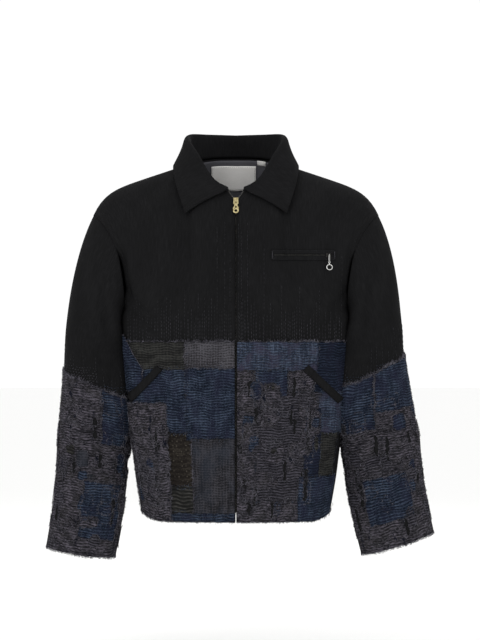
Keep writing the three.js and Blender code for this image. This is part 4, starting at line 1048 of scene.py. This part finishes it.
# Sleeve patches: rows of the CAD's net down from the armhole, and columns from the outer edge.
sleevePatches = {
    "patch_sleeve_right_upper": ((5.5, 7.4), (0.2, 4.6), "frayedGrey"),
    "patch_sleeve_right_inner": ((6, 8), (4.7, 7.4), "navyCotton"),
    "patch_sleeve_right_lower": ((9.4, 11.4), (3.6, 6.6), "navyCotton"),
    "patch_sleeve_left_outer": ((5.4, 6.9), (0.2, 4.3), "navyCotton"),
    "patch_sleeve_left_inner": ((5.6, 7.4), (4.4, 7.0), "navyCotton"),
    "patch_sleeve_left_lower": ((9.2, 11), (2.4, 5.6), "navyCotton"),
}
for number, (node, (rows, columns, cloth)) in enumerate(sleevePatches.items()):
    sleeve = "sleeve" + node.split("_")[2].title()
    net = nets[sleeve]
    form = sleeveForms[sleeve[6:].lower()]
    heights = [form["upperArm"][2], form["elbow"][2], form["cuff"][2]]
    tHigh, tLow = [float(np.interp(row, (5, 8, 12), heights)) for row in rows]
    sLow, sHigh = [column / 8 * sleeveGirth / 2 for column in columns]
    rng = np.random.default_rng(300 + number)
    s, t = raggedGrid(rng, sLow, sHigh, tLow, tHigh, 3.2, 1.3)
    if rows[0] < 6.2:  # its top edge follows the slant of the cover's
        t = tLow + (t - tLow) * (coverTop(sleeve, s) + 1 - tLow) / (tHigh - tLow)
    top = 2.2 + 0.3 * (number % 2)
    piece = layOn(pieceName(node), net, s, t, top, patchWall, cloths[cloth])
    sewOn(piece, net, slotOf[cloth], node)
    quiltRows(net, sLow, sHigh, tLow, tHigh, top + 0.15, threadOn(cloth), rng)
    for side, (edge, away) in edgesOf(s, t).items():
        frayEdge(net, edge, away, top, rng, 0.9, (1.5, 6))

kindNames = list(scrapKinds)
kindShares = [scrapKinds[kind]["share"] for kind in kindNames]
for number, (zone, (panel, acrossRange, upRange, count, lift)) in enumerate(scrapZones.items()):
    net = nets[panel]
    rng = np.random.default_rng(500 + number)
    made = {}
    for k in range(count):
        kind = scrapKinds[kindNames[rng.choice(len(kindNames), p=kindShares)]]
        cloth = kind["cloth"]
        width, height = rng.uniform(*kind["width"]), rng.uniform(*kind["height"])
        width = min(width, acrossRange[1] - acrossRange[0] - 2)
        s0 = rng.uniform(acrossRange[0], acrossRange[1] - (0 if net["around"] else width))
        t0 = rng.uniform(upRange[0], upRange[1] - height)
        if net["around"]:
            t0 = min(t0, coverTop(panel, s0) - height - 4)
        s, t = raggedGrid(rng, s0, s0 + width, t0, t0 + height, 2.8, 1.2, kind["round"])
        if not net["around"]:
            s = np.clip(s, net["s"][0] + 1.8, net["s"][-1] - 1.8)
        t = np.maximum(t, net["t"][0] + 0.5)
        top = lift + 0.12 * (k % 8)
        made.setdefault(cloth, []).append((s, t, top))
        for edge, away in edgesOf(s, t).values():
            if np.abs(edge[:, 0]).max() > 6:
                frayEdge(net, edge, away, top, rng, kind["fray"], (1.2, 5))
        if rng.uniform() < 0.6 and width > 9:
            quiltRows(net, s0, s0 + width, t0, t0 + height, top + 0.15, threadOn(cloth), rng, missing=0.2)
    for cloth, grids in made.items():
        name = zone + "Scraps" + cloth[0].upper() + cloth[1:]
        sewOn(layWalls(name, net, grids, 0.45, cloths[cloth]), net, slotOf[cloth])
print("scraps ready")

# The panels and sleeves of black twill.
panelStep, shoulderStep = 6.0, 4.4
clothWall = 1.7


def panelGrid(net, cornerShares):
    sEnds = net["s"][0], net["s"][-1]
    columns = [sEnds[0], *cornerShares, sEnds[1]]
    across = []
    for a, b in zip(columns, columns[1:]):
        across += list(np.linspace(a, b, max(2, round((b - a) / panelStep)) + 1)[:-1])
    across.append(sEnds[1])
    t = net["t"]
    lower = np.linspace(hem, armpit, round((armpit - hem) / panelStep) + 1)
    upper = np.linspace(armpit, t[-1], round((t[-1] - armpit) / shoulderStep) + 1)[1:]
    return np.meshgrid(np.array(across), np.concatenate([lower, upper]))


neckCorner = {"frontLeft": [nets["frontLeft"]["s"][27]], "frontRight": [nets["frontRight"]["s"][72 - 27]],
              "back": [nets["back"]["s"][40], nets["back"]["s"][100]]}
# Each sheet: its CAD node, and its width, length and area in metres as it was cut.
cuts = {
    "frontRight": {"node": "front_right", "flat": (0.290, 0.640), "area": 0.143},
    "frontLeft": {"node": "front_left", "flat": (0.290, 0.640), "area": 0.143},
    "back": {"node": "back", "flat": (0.560, 0.660), "area": 0.300},
    "sleeveRight": {"node": "sleeve_right", "flat": (0.420, 0.600), "area": 0.196},
    "sleeveLeft": {"node": "sleeve_left", "flat": (0.420, 0.600), "area": 0.196},
    "collar": {"node": "collar", "flat": (0.480, 0.118), "area": 0.050},
}


def addPanel(name, piece):
    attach(piece, "jacket")
    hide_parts(cuts[name]["node"])


for name in ("frontRight", "frontLeft", "back", "sleeveRight", "sleeveLeft"):
    net, around = nets[name], nets[name]["around"]
    if around:
        heights = np.linspace(net["t"][0], net["t"][-1], 108)
        s, t = np.meshgrid(np.linspace(0, sleeveGirth, 69)[:-1], heights)
    else:
        s, t = panelGrid(net, neckCorner[name])
    addPanel(name, layOn(name + "Panel", net, s, t, 0, clothWall, cloths["blackTwill"], around))
print("panels ready")


# The cloth coordinates of places seen from straight ahead at x and z.
def seenAt(net, x, z):
    grid = net["points"][..., [0, 2]]
    flat = grid.reshape(-1, 2)
    wanted = np.stack(np.broadcast_arrays(np.asarray(x, float), np.asarray(z, float)), -1).reshape(-1, 2)
    out = []
    for place in wanted:
        nearest = int(((flat - place) ** 2).sum(1).argmin())
        row, column = divmod(nearest, grid.shape[1])
        r = min(max(row, 1), grid.shape[0] - 2)
        c = min(max(column, 1), grid.shape[1] - 2)
        ds, dt = net["s"][c + 1] - net["s"][c - 1], net["t"][r + 1] - net["t"][r - 1]
        slope = np.stack([(grid[r, c + 1] - grid[r, c - 1]) / ds,
                          (grid[r + 1, c] - grid[r - 1, c]) / dt], 1)
        step = np.linalg.solve(slope, place - grid[row, column])
        out.append((net["s"][column] + step[0], net["t"][row] + step[1]))
    return np.array(out)


# Sashiko: broken grey lines that rise from the patchwork into the black cloth.
sashiko = {"foot": -303, "pitch": (2.8, 6.4), "rise": (50, 104), "stitch": 6.4, "gap": 0.1}
longLines = {"frontRight": ((-32, -104), (-19, -96), (-10, -128)),
             "frontLeft": ((4.5, -92), (9.5, -110), (20, -96), (48, -132), (182, -150))}
rng = np.random.default_rng(7)


def sashikoLine(line, latest):
    return runningStitches(line, sashiko["stitch"], sashiko["gap"], rng.uniform(0, latest))


for name, (low, high) in {"frontRight": (-186, -6), "frontLeft": (6, 186), "back": (-184, 184)}.items():
    net, foot, x = nets[name], sashiko["foot"], low
    while x < high:
        rise = rng.uniform(*sashiko["rise"]) * rng.uniform(0.55, 1)
        line = seenAt(net, x + rng.normal(0, 0.25, 9), np.linspace(foot, foot + rise, 9))
        starts, ends = sashikoLine(line, 6)
        grey = starts[:, 1] < foot + rng.uniform(8, 44)
        addStitches(net, starts[grey], ends[grey], "greyThread", 0.6, 0.35, 0.2)
        addStitches(net, starts[~grey], ends[~grey], "dimThread", 0.75, 0.35, 0.2)
        x += rng.uniform(*sashiko["pitch"])
    for x, top in longLines.get(name, ()):
        starts, ends = sashikoLine(seenAt(net, x, np.linspace(foot, top, 25)), 4)
        keep = rng.uniform(0, 1, len(starts)) > 0.12
        addStitches(net, starts[keep], ends[keep], "dimThread", 0.7, 0.35, 0.2)
for name in sleeveCover:
    s0 = 2.0
    while s0 < sleeveGirth:
        foot = coverTop(name, s0)
        line = np.stack([np.full(9, s0), np.linspace(foot, foot + rng.uniform(12, 60), 9)], 1)
        addStitches(nets[name], *sashikoLine(line, 4), "dimThread", 0.7, 0.35, 0.2)
        s0 += rng.uniform(6, 13)

# Top-stitching: in black round the armholes, beside the zip and on the collar, and in grey above the hem.
topStitch = {"stitch": 3.2, "gap": 1.0, "in": 6.0}


def topStitchLine(net, s, t, thread="blackThread", width=0.8, height=0.35, lift=0.1):
    line = np.stack(np.broadcast_arrays(s, t), 1)
    starts, ends = runningStitches(line, topStitch["stitch"], topStitch["gap"])
    addStitches(net, starts, ends, thread, width, height, lift)


for name in ("frontRight", "frontLeft", "back"):
    net = nets[name]
    sides = net["s"][0] + topStitch["in"], net["s"][-1] - topStitch["in"]
    for s0 in {"frontRight": sides[:1], "frontLeft": sides[1:], "back": sides}[name]:
        topStitchLine(net, s0, np.linspace(armpit + 4, net["t"][-1] - 2, 60))
    across = np.linspace(net["s"][0] + 2, net["s"][-1] - 2, 60)
    topStitchLine(net, across, hem + 9.0, "greyThread", 0.8, 0.4, 2.9)
print("stitching ready")

# The frayed hem.
for name in ("frontRight", "frontLeft", "back"):
    net = nets[name]
    rng = np.random.default_rng(900 + len(name))
    s = np.linspace(net["s"][0] + 2, net["s"][-1] - 2, 120)
    edge = np.stack([s, np.full(120, hem + 0.8)], 1)
    frayEdge(net, edge, np.tile((0.0, -1.0), (120, 1)), 0.9, rng, 1.1, (1.0, 4.0))


# The collar goes up its stand, over the fold and down its leaf.
collarForm = {
    "fold": ((0, 82, 60), (48, 75, 61), (79, 48, 60), (85, 5, 50), (69, -40, 22), (43, -77, -21),
             (16, -98, -42)),
    "leafEdge": (("back", 0, -10), ("back", 50, -10), ("back", 88, -7), None,
                 ("frontLeft", 105, -22), ("frontLeft", 98, -54), ("frontLeft", 81, -86)),
    "shoulderEdge": (106, 10, 7),
    "leafLift": 7.4,
    "foldRadius": 3.2,
    "wall": 2.4,
}


# A smooth curve through points, with knots spread by the root of their distances.
def smoothCurve(points, at):
    points = np.asarray(points, float)
    padded = np.concatenate([[2 * points[0] - points[1]], points, [2 * points[-1] - points[-2]]])
    count = len(points) - 1
    out = []
    for share in np.atleast_1d(at):
        k = min(int(share * count), count - 1)
        u = share * count - k
        p = padded[k:k + 4]
        spans = np.maximum(np.linalg.norm(np.diff(p, axis=0), axis=1), 1e-6) ** 0.5
        knots = np.concatenate([[0], np.cumsum(spans)])
        x = mix(knots[1], knots[2], u)

        def between(a, b, low, high):
            return a * (high - x) / (high - low) + b * (x - low) / (high - low)

        a1 = between(p[0], p[1], knots[0], knots[1])
        a2 = between(p[1], p[2], knots[1], knots[2])
        a3 = between(p[2], p[3], knots[2], knots[3])
        b1 = between(a1, a2, knots[0], knots[2])
        b2 = between(a2, a3, knots[1], knots[3])
        out.append(between(b1, b2, knots[1], knots[2]))
    return np.array(out)


def placeOn(name, x, z, lift):
    s, t = seenAt(nets[name], x, z)[0]
    return surfaceAt(nets[name], s, t, lift)[0]


def neckSeam(t):
    angle = math.pi * min(t, 0.95)
    sine, cosine = math.sin(angle), math.cos(angle)
    face = 1 if cosine > 0 else -1
    return np.array([neckSizes["half"] * sine, middle + neckSizes["depth"][face] * abs(cosine) * face,
                     mix(neckSizes["top"][face], neckSizes["side"], sine ** neckSizes["power"][face])])


def collarGrid(columns=56, rows=34):
    leafPlaces = [placeOn(place[0], place[1], place[2], collarForm["leafLift"]) if place
                  else np.array(collarForm["shoulderEdge"], float) for place in collarForm["leafEdge"]]
    shares = np.linspace(0, 1, columns + 1)
    folds, edges = smoothCurve(collarForm["fold"], shares), smoothCurve(leafPlaces, shares)
    radius = collarForm["foldRadius"]
    half = []
    for t, fold, edge in zip(shares, folds, edges):
        seam = neckSeam(t)
        outward = np.array([edge[0] - seam[0], edge[1] - seam[1], 0])
        early = np.array([seam[0], max(seam[1], 20), 0.0])
        early /= np.linalg.norm(early)
        length = np.linalg.norm(outward)
        late = outward / max(length, 1e-6)
        share = float(bell((t - 0.12) / 0.16)) if length > 8 else 0.0
        outward = mix(early, late, share)
        outward *= radius / np.linalg.norm(outward)
        drop = np.array([0, 0, radius])
        foot = seam + np.array([0, 0, 2.0]) + outward * 0.5
        standTop, leafTop = fold - outward - drop, fold + outward - drop
        arch = 1.6 - 1.7 * bump(t, 0.5, 0.17)  # the leaf is flat over the shoulder
        leaf = [mix(leafTop, edge, k) + outward * arch * math.sin(math.pi * k)
                for k in (0.25, 0.5, 0.75, 1)]
        for k, p in enumerate(leaf):
            face = -1 if p[1] < middle else 1
            under = nets["frontLeft" if face < 0 else "back"]
            flat = under["points"][..., [0, 2]].reshape(-1, 2)
            gap = ((flat - p[[0, 2]]) ** 2).sum(1)
            nearest = int(gap.argmin())
            if gap[nearest] > 9:
                continue
            r, c = divmod(nearest, under["points"].shape[1])
            least = under["points"][r, c] + under["normals"][r, c] * collarForm["leafLift"]
            if face * p[1] < face * least[1]:
                leaf[k] = np.array([p[0], least[1], p[2]])
        half.append(smoothCurve([foot, mix(foot, standTop, 0.5), standTop, fold, leafTop, *leaf],
                                np.linspace(0, 1, rows + 1)))
    half = np.array(half)
    for _ in range(3):
        half[1:-1] = (half[:-2] + 2 * half[1:-1] + half[2:]) / 4
    grid = np.concatenate([(half * np.array([-1, 1, 1]))[:0:-1], half])
    return grid.transpose(1, 0, 2)


collarPoints = collarGrid()
collarRows, collarColumns = collarPoints.shape[:2]
collarHalf, collarHeight = 240, 118  # half the collar's length, and its stand and leaf together
collarS = np.linspace(-collarHalf, collarHalf, collarColumns)
collarT = np.linspace(0, collarHeight, collarRows)
collarNet = {"name": "collar", "points": collarPoints, "normals": netNormals(collarPoints, False),
             "s": collarS, "t": collarT, "around": False}
# The collar's outer face is away from the neck on the stand and on top on the leaf.
if collarNet["normals"][0, collarColumns // 2, 1] > 0:
    collarNet["normals"] = -collarNet["normals"]
nets["collar"] = collarNet
pieces["collar"] = []
s, t = np.meshgrid(collarS, collarT)
leafRise = 0.5 * np.sin(s / 17) * bell((t - 60) / 30) + 1.2 * bell((t - collarHeight + 10) / 10)
addPanel("collar", layOn("collarCloth", collarNet, s, t, -0.2 * leafRise, -collarForm["wall"],
                         cloths["blackTwill"]))
seamIn, seamEnd = collarHeight - 6.5, collarHalf - 6.5
upLeaf = np.linspace(64, seamIn, 40)
for s, t in ((np.linspace(-233, 233, 200), seamIn), (-seamEnd, upLeaf), (seamEnd, upLeaf)):
    topStitchLine(collarNet, s, t, "blackThread", 0.9, -0.5, -0.1)
print("collar ready")

# Inside the back of the neck are the facing, a bare label and a bare size tab.
backNet = nets["back"]


def backPlace(row, column):
    share = (7 - column) / 7
    return share * backNet["s"][-1], mix(armpit, neckSizes["top"][1], (row - 10) / 7)


neckPieces = {
    "back_neck_facing": {"rows": (15.0, 16.94), "columns": (4.2, 9.8), "lift": -2.6, "wall": 0.8,
                         "cloth": "charcoalLining", "slot": "charcoal_lining"},
    "neck_label": {"rows": (15.62, 16.71), "columns": (6.08, 8.17), "lift": -4.6, "wall": 0.7,
                   "cloth": "whiteTape", "slot": "white_tape"},
    "size_tab": {"rows": (16.76, 16.99), "columns": (5.55, 6.0), "lift": -4.6, "wall": 0.7,
                 "cloth": "whiteTape", "slot": "white_tape"},
}
for node, spec in neckPieces.items():
    (sHigh, tLow), (sLow, tHigh) = [backPlace(r, c) for r, c in zip(spec["rows"], spec["columns"])]
    s, t = lattice(sLow, sHigh, tLow, tHigh, 4.0)
    lift = spec["lift"] - 0.3 * np.sin(s / 11) * (node == "neck_label")
    piece = layOn(pieceName(node), backNet, s, t, lift, spec["wall"], cloths[spec["cloth"]])
    sewOn(piece, backNet, spec["slot"], node)
    if node != "back_neck_facing":
        left, right, foot, top = sLow + 2, sHigh - 2, tLow + 2, tHigh - 2
        for line in (((left, top), (right, top)), ((left, foot), (left, top)),
                     ((right, foot), (right, top))):
            starts, ends = runningStitches(np.array(line), 2.2, 0.9)
            addStitches(backNet, starts, ends, "greyThread", 0.6, -0.5, spec["lift"] - spec["wall"] - 0.1)


def selectOnly(piece):
    bpy.ops.object.select_all(action="DESELECT")
    bpy.context.view_layer.objects.active = piece
    piece.select_set(True)


def bevelEdges(piece, width, segments):
    bevel = piece.modifiers.new("bevel", "BEVEL")
    bevel.width = width * mm
    bevel.segments = segments
    bevel.limit_method = "ANGLE"
    bevel.angle_limit = math.radians(35)
    bpy.ops.object.modifier_apply(modifier="bevel")


# A row of box-shaped teeth with eased edges.
def toothedRow(name, placeOf, count, toothSize, metal):
    vertices, faces = [], []
    corners = np.array([[x, y, z] for z in (-1, 1) for y in (-1, 1) for x in (-1, 1)]) * 0.5
    quads = np.array([[0, 1, 3, 2], [4, 6, 7, 5], [0, 4, 5, 1], [2, 3, 7, 6], [0, 2, 6, 4], [1, 5, 7, 3]])
    for k in range(count):
        vertices.append(placeOf(k) + corners * np.array(toothSize))
        faces.append(quads[:, ::-1] + 8 * k)
    made = newObject(name, np.concatenate(vertices), np.concatenate(faces), metals[metal], smooth=False)
    selectOnly(made)
    bevelEdges(made, 0.22, 1)
    return made


zipPitch = 2.6  # a tooth every 2.6 mm on each side, and the two sides mesh
zipTop, zipFoot = -43, hem + zipSizes["bottom"]
teethCount = int((zipTop - zipFoot) / zipPitch)
neckEnd = mix(armpit, neckSizes["top"][-1], 0.96)
for side, sign in (("right", -1), ("left", 1)):
    net = nets["front" + side.title()]
    shift = 0 if sign < 0 else zipPitch / 2

    def toothPlace(k):
        z = zipFoot + shift + k * zipPitch
        opened = bell((z - zipSizes["slider"]) / 5)
        x = float(frontEdge(z)) - zipSizes["edge"] + mix(1.15, -0.5, opened)
        return np.array([sign * x, float(centreDepth(-1, z)) + mix(2.9, 1.2, opened), z])

    teeth = toothedRow("zipTeeth" + side.title(), toothPlace, teethCount, (2.0, 2.2, 1.25), "toothMetal")
    sewOn(teeth, net, "brass", "zip_teeth_" + side)
    sEnds = (0.3, 15.0) if sign > 0 else (-15.0, -0.3)
    s, t = lattice(*sEnds, zipFoot, neckEnd, 3.0)
    tape = layOn("zipTape" + side.title(), net, s, t, -clothWall - 0.5, 0.8, cloths["zipTape"])
    sewOn(tape, net, "black_denim", "zip_tape_" + side)
    # The placket's edge is turned back, and stitched at its side.
    topStitchLine(net, sign * 7.0, np.linspace(hem + 6, neckEnd, 180))


# A hard piece is a copy of its CAD node, merged, with its long edges rounded.
def roundedCopy(node, body, name, material, width):
    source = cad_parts[node]
    made = source.copy()
    made.data = source.data.copy()
    made.name = name
    made.parent = None
    for key in list(made.keys()):
        del made[key]
    bpy.context.scene.collection.objects.link(made)
    made.data.materials.clear()
    made.data.materials.append(material)
    selectOnly(made)
    bpy.ops.object.mode_set(mode="EDIT")
    bpy.ops.mesh.select_all(action="SELECT")
    bpy.ops.mesh.remove_doubles(threshold=0.00001)
    bpy.ops.mesh.dissolve_limited(angle_limit=math.radians(2))
    bpy.ops.object.mode_set(mode="OBJECT")
    bevelEdges(made, width, 2)
    bpy.ops.object.shade_smooth_by_angle(angle=math.radians(32))
    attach(made, body)
    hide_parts(node)
    return made


# Each hard piece: its body, its name, its metal, how wide its edges are rounded and its slot.
hardPieces = {
    "main_slider": ("jacket", "zipSliderBody", "brass", 0.25, "brass"),
    "main_pull": ("zip_pull", "zipPullTab", "brass", 0.22, "brass"),
    "chest_slider": ("jacket", "chestZipSlider", "darkNickel", 0.2, "white_metal"),
    "chest_link": ("chest_link", "chestZipLink", "nickel", 0.05, "white_metal"),
    "chest_ring": ("chest_ring", "chestZipRing", "nickel", 0.12, "white_metal"),
}
for node, (body, name, metal, width, slot) in hardPieces.items():
    roundedCopy(node, body, name, metals[metal], width)

leftNet = nets["frontLeft"]
chestPocket = {"from": 60, "to": 170, "height": -155, "half": 9, "slot": 1.5}


# A sheet on a panel over a grid of places seen from straight ahead.
def laySeen(name, net, x, z, lift, thickness, material):
    places = seenAt(net, x, z).reshape(*x.shape, 2)
    return layOn(name, net, places[..., 0], places[..., 1], lift, thickness, material)


low, high, z0, half, slot = [chestPocket[key] for key in ("from", "to", "height", "half", "slot")]
weltParts = {"Top": ((low, high), (z0 + slot, z0 + half)), "Low": ((low, high), (z0 - half, z0 - slot)),
             "Inner": ((low, low + 4), (z0 - slot, z0 + slot)),
             "Outer": ((high - 4, high), (z0 - slot, z0 + slot))}
for part, (xs, zs) in weltParts.items():
    x, z = lattice(*xs, *zs, 2.2)
    edge = np.minimum(np.minimum(x - xs[0], xs[1] - x), np.minimum(z - zs[0], zs[1] - z))
    crown = 1.5 + 0.7 * bell(edge / 2.5)
    piece = laySeen("chestWelt" + part, leftNet, x, z, crown, 1.0, cloths["blackTwill"])
    sewOn(piece, leftNet, "black_denim", *(("chest_pocket_welt",) if part == "Top" else ()))
x, z = lattice(low + 4, high - 4, z0 - 3, z0 + 3, 2)
tape = laySeen("chestZipTape", leftNet, x, z, 0.9, 0.6, cloths["zipTape"])
sewOn(tape, leftNet, "brass", "chest_zip_tape")
left, right, top, foot, slotTop = low + 2, high - 2, z0 + 7.5, z0 - 7.5, z0 + 4.8
for a, b in (((left, top), (right, top)), ((left, foot), (right, foot)), ((left, top), (left, foot)),
             ((right, top), (right, foot)), ((left + 4, slotTop), (right - 4, slotTop))):
    count = max(4, round(math.dist(a, b) / 6))
    line = seenAt(leftNet, np.linspace(a[0], b[0], count), np.linspace(a[1], b[1], count))
    addStitches(leftNet, *runningStitches(line, 2.6, 0.9), "dimThread", 0.55, 0.35, 2.1)
for x0 in (low + 1.5, high - 1.5):
    for k in np.arange(-6, 6.1, 0.9):  # bar tacks
        line = seenAt(leftNet, (x0 - 1.2, x0 + 1.2), z0 + k)
        addStitches(leftNet, line[:1], line[1:], "greyThread", 0.7, 0.5, 2.2)
chestTeeth = np.arange(low + 6, 152, 1.9)  # as far as the slider
chestPlaces = seenAt(leftNet, chestTeeth, z0)
chestPoints, _ = surfaceAt(leftNet, *chestPlaces.T, 0.5)
teeth = toothedRow("chestZipTeeth", lambda k: chestPoints[k], len(chestTeeth), (1.1, 1.2, 3.0),
                   "darkNickel")
sewOn(teeth, leftNet, "white_metal")

handWelts = {"right": {"top": (-129, -348), "foot": (-180, -401)},
             "left": {"top": (118, -348), "foot": (177, -404)}}
for side, ends in handWelts.items():
    net = nets["front" + side.title()]
    start, end = np.array(ends["top"], float), np.array(ends["foot"], float)
    length = np.linalg.norm(end - start)
    run = (end - start) / length
    i, j = np.meshgrid(np.linspace(-0.5, length + 0.5, 36), np.linspace(-6.6, 6.6, 9))

    def weltPlaces(i, j):
        return start[0] + run[0] * i - run[1] * j, start[1] + run[1] * i + run[0] * j

    crown = 4.6 + 1.3 * bell((6.6 - np.abs(j)) / 3.4)
    piece = laySeen("handWelt" + side.title(), net, *weltPlaces(i, j), crown, 1.6, cloths["blackTwill"])
    sewOn(piece, net, "black_denim", "hand_pocket_welt_" + side)
    for edge in (-5.0, 5.0):
        line = seenAt(net, *weltPlaces(i[0], edge))
        addStitches(net, *runningStitches(line, 2.6, 1.0), "blackThread", 0.6, 0.4, 5.6)
print("hardware and pockets ready")

for (panel, thread), store in gathered.items():
    piece = newObject(panel + thread[0].upper() + thread[1:], np.concatenate(store["vertices"]),
                      np.concatenate(store["faces"]), threads[thread])
    slot = {"blueThread": "navy_cloth", "blackThread": "black_denim"}.get(thread, "grey_cloth")
    sewOn(piece, nets[panel], slot)
print("threads joined")

shown = [o for o in bpy.data.objects if o.type == "MESH" and not o.hide_render]
print("triangles", sum(len(p.vertices) - 2 for o in shown for p in o.data.polygons))
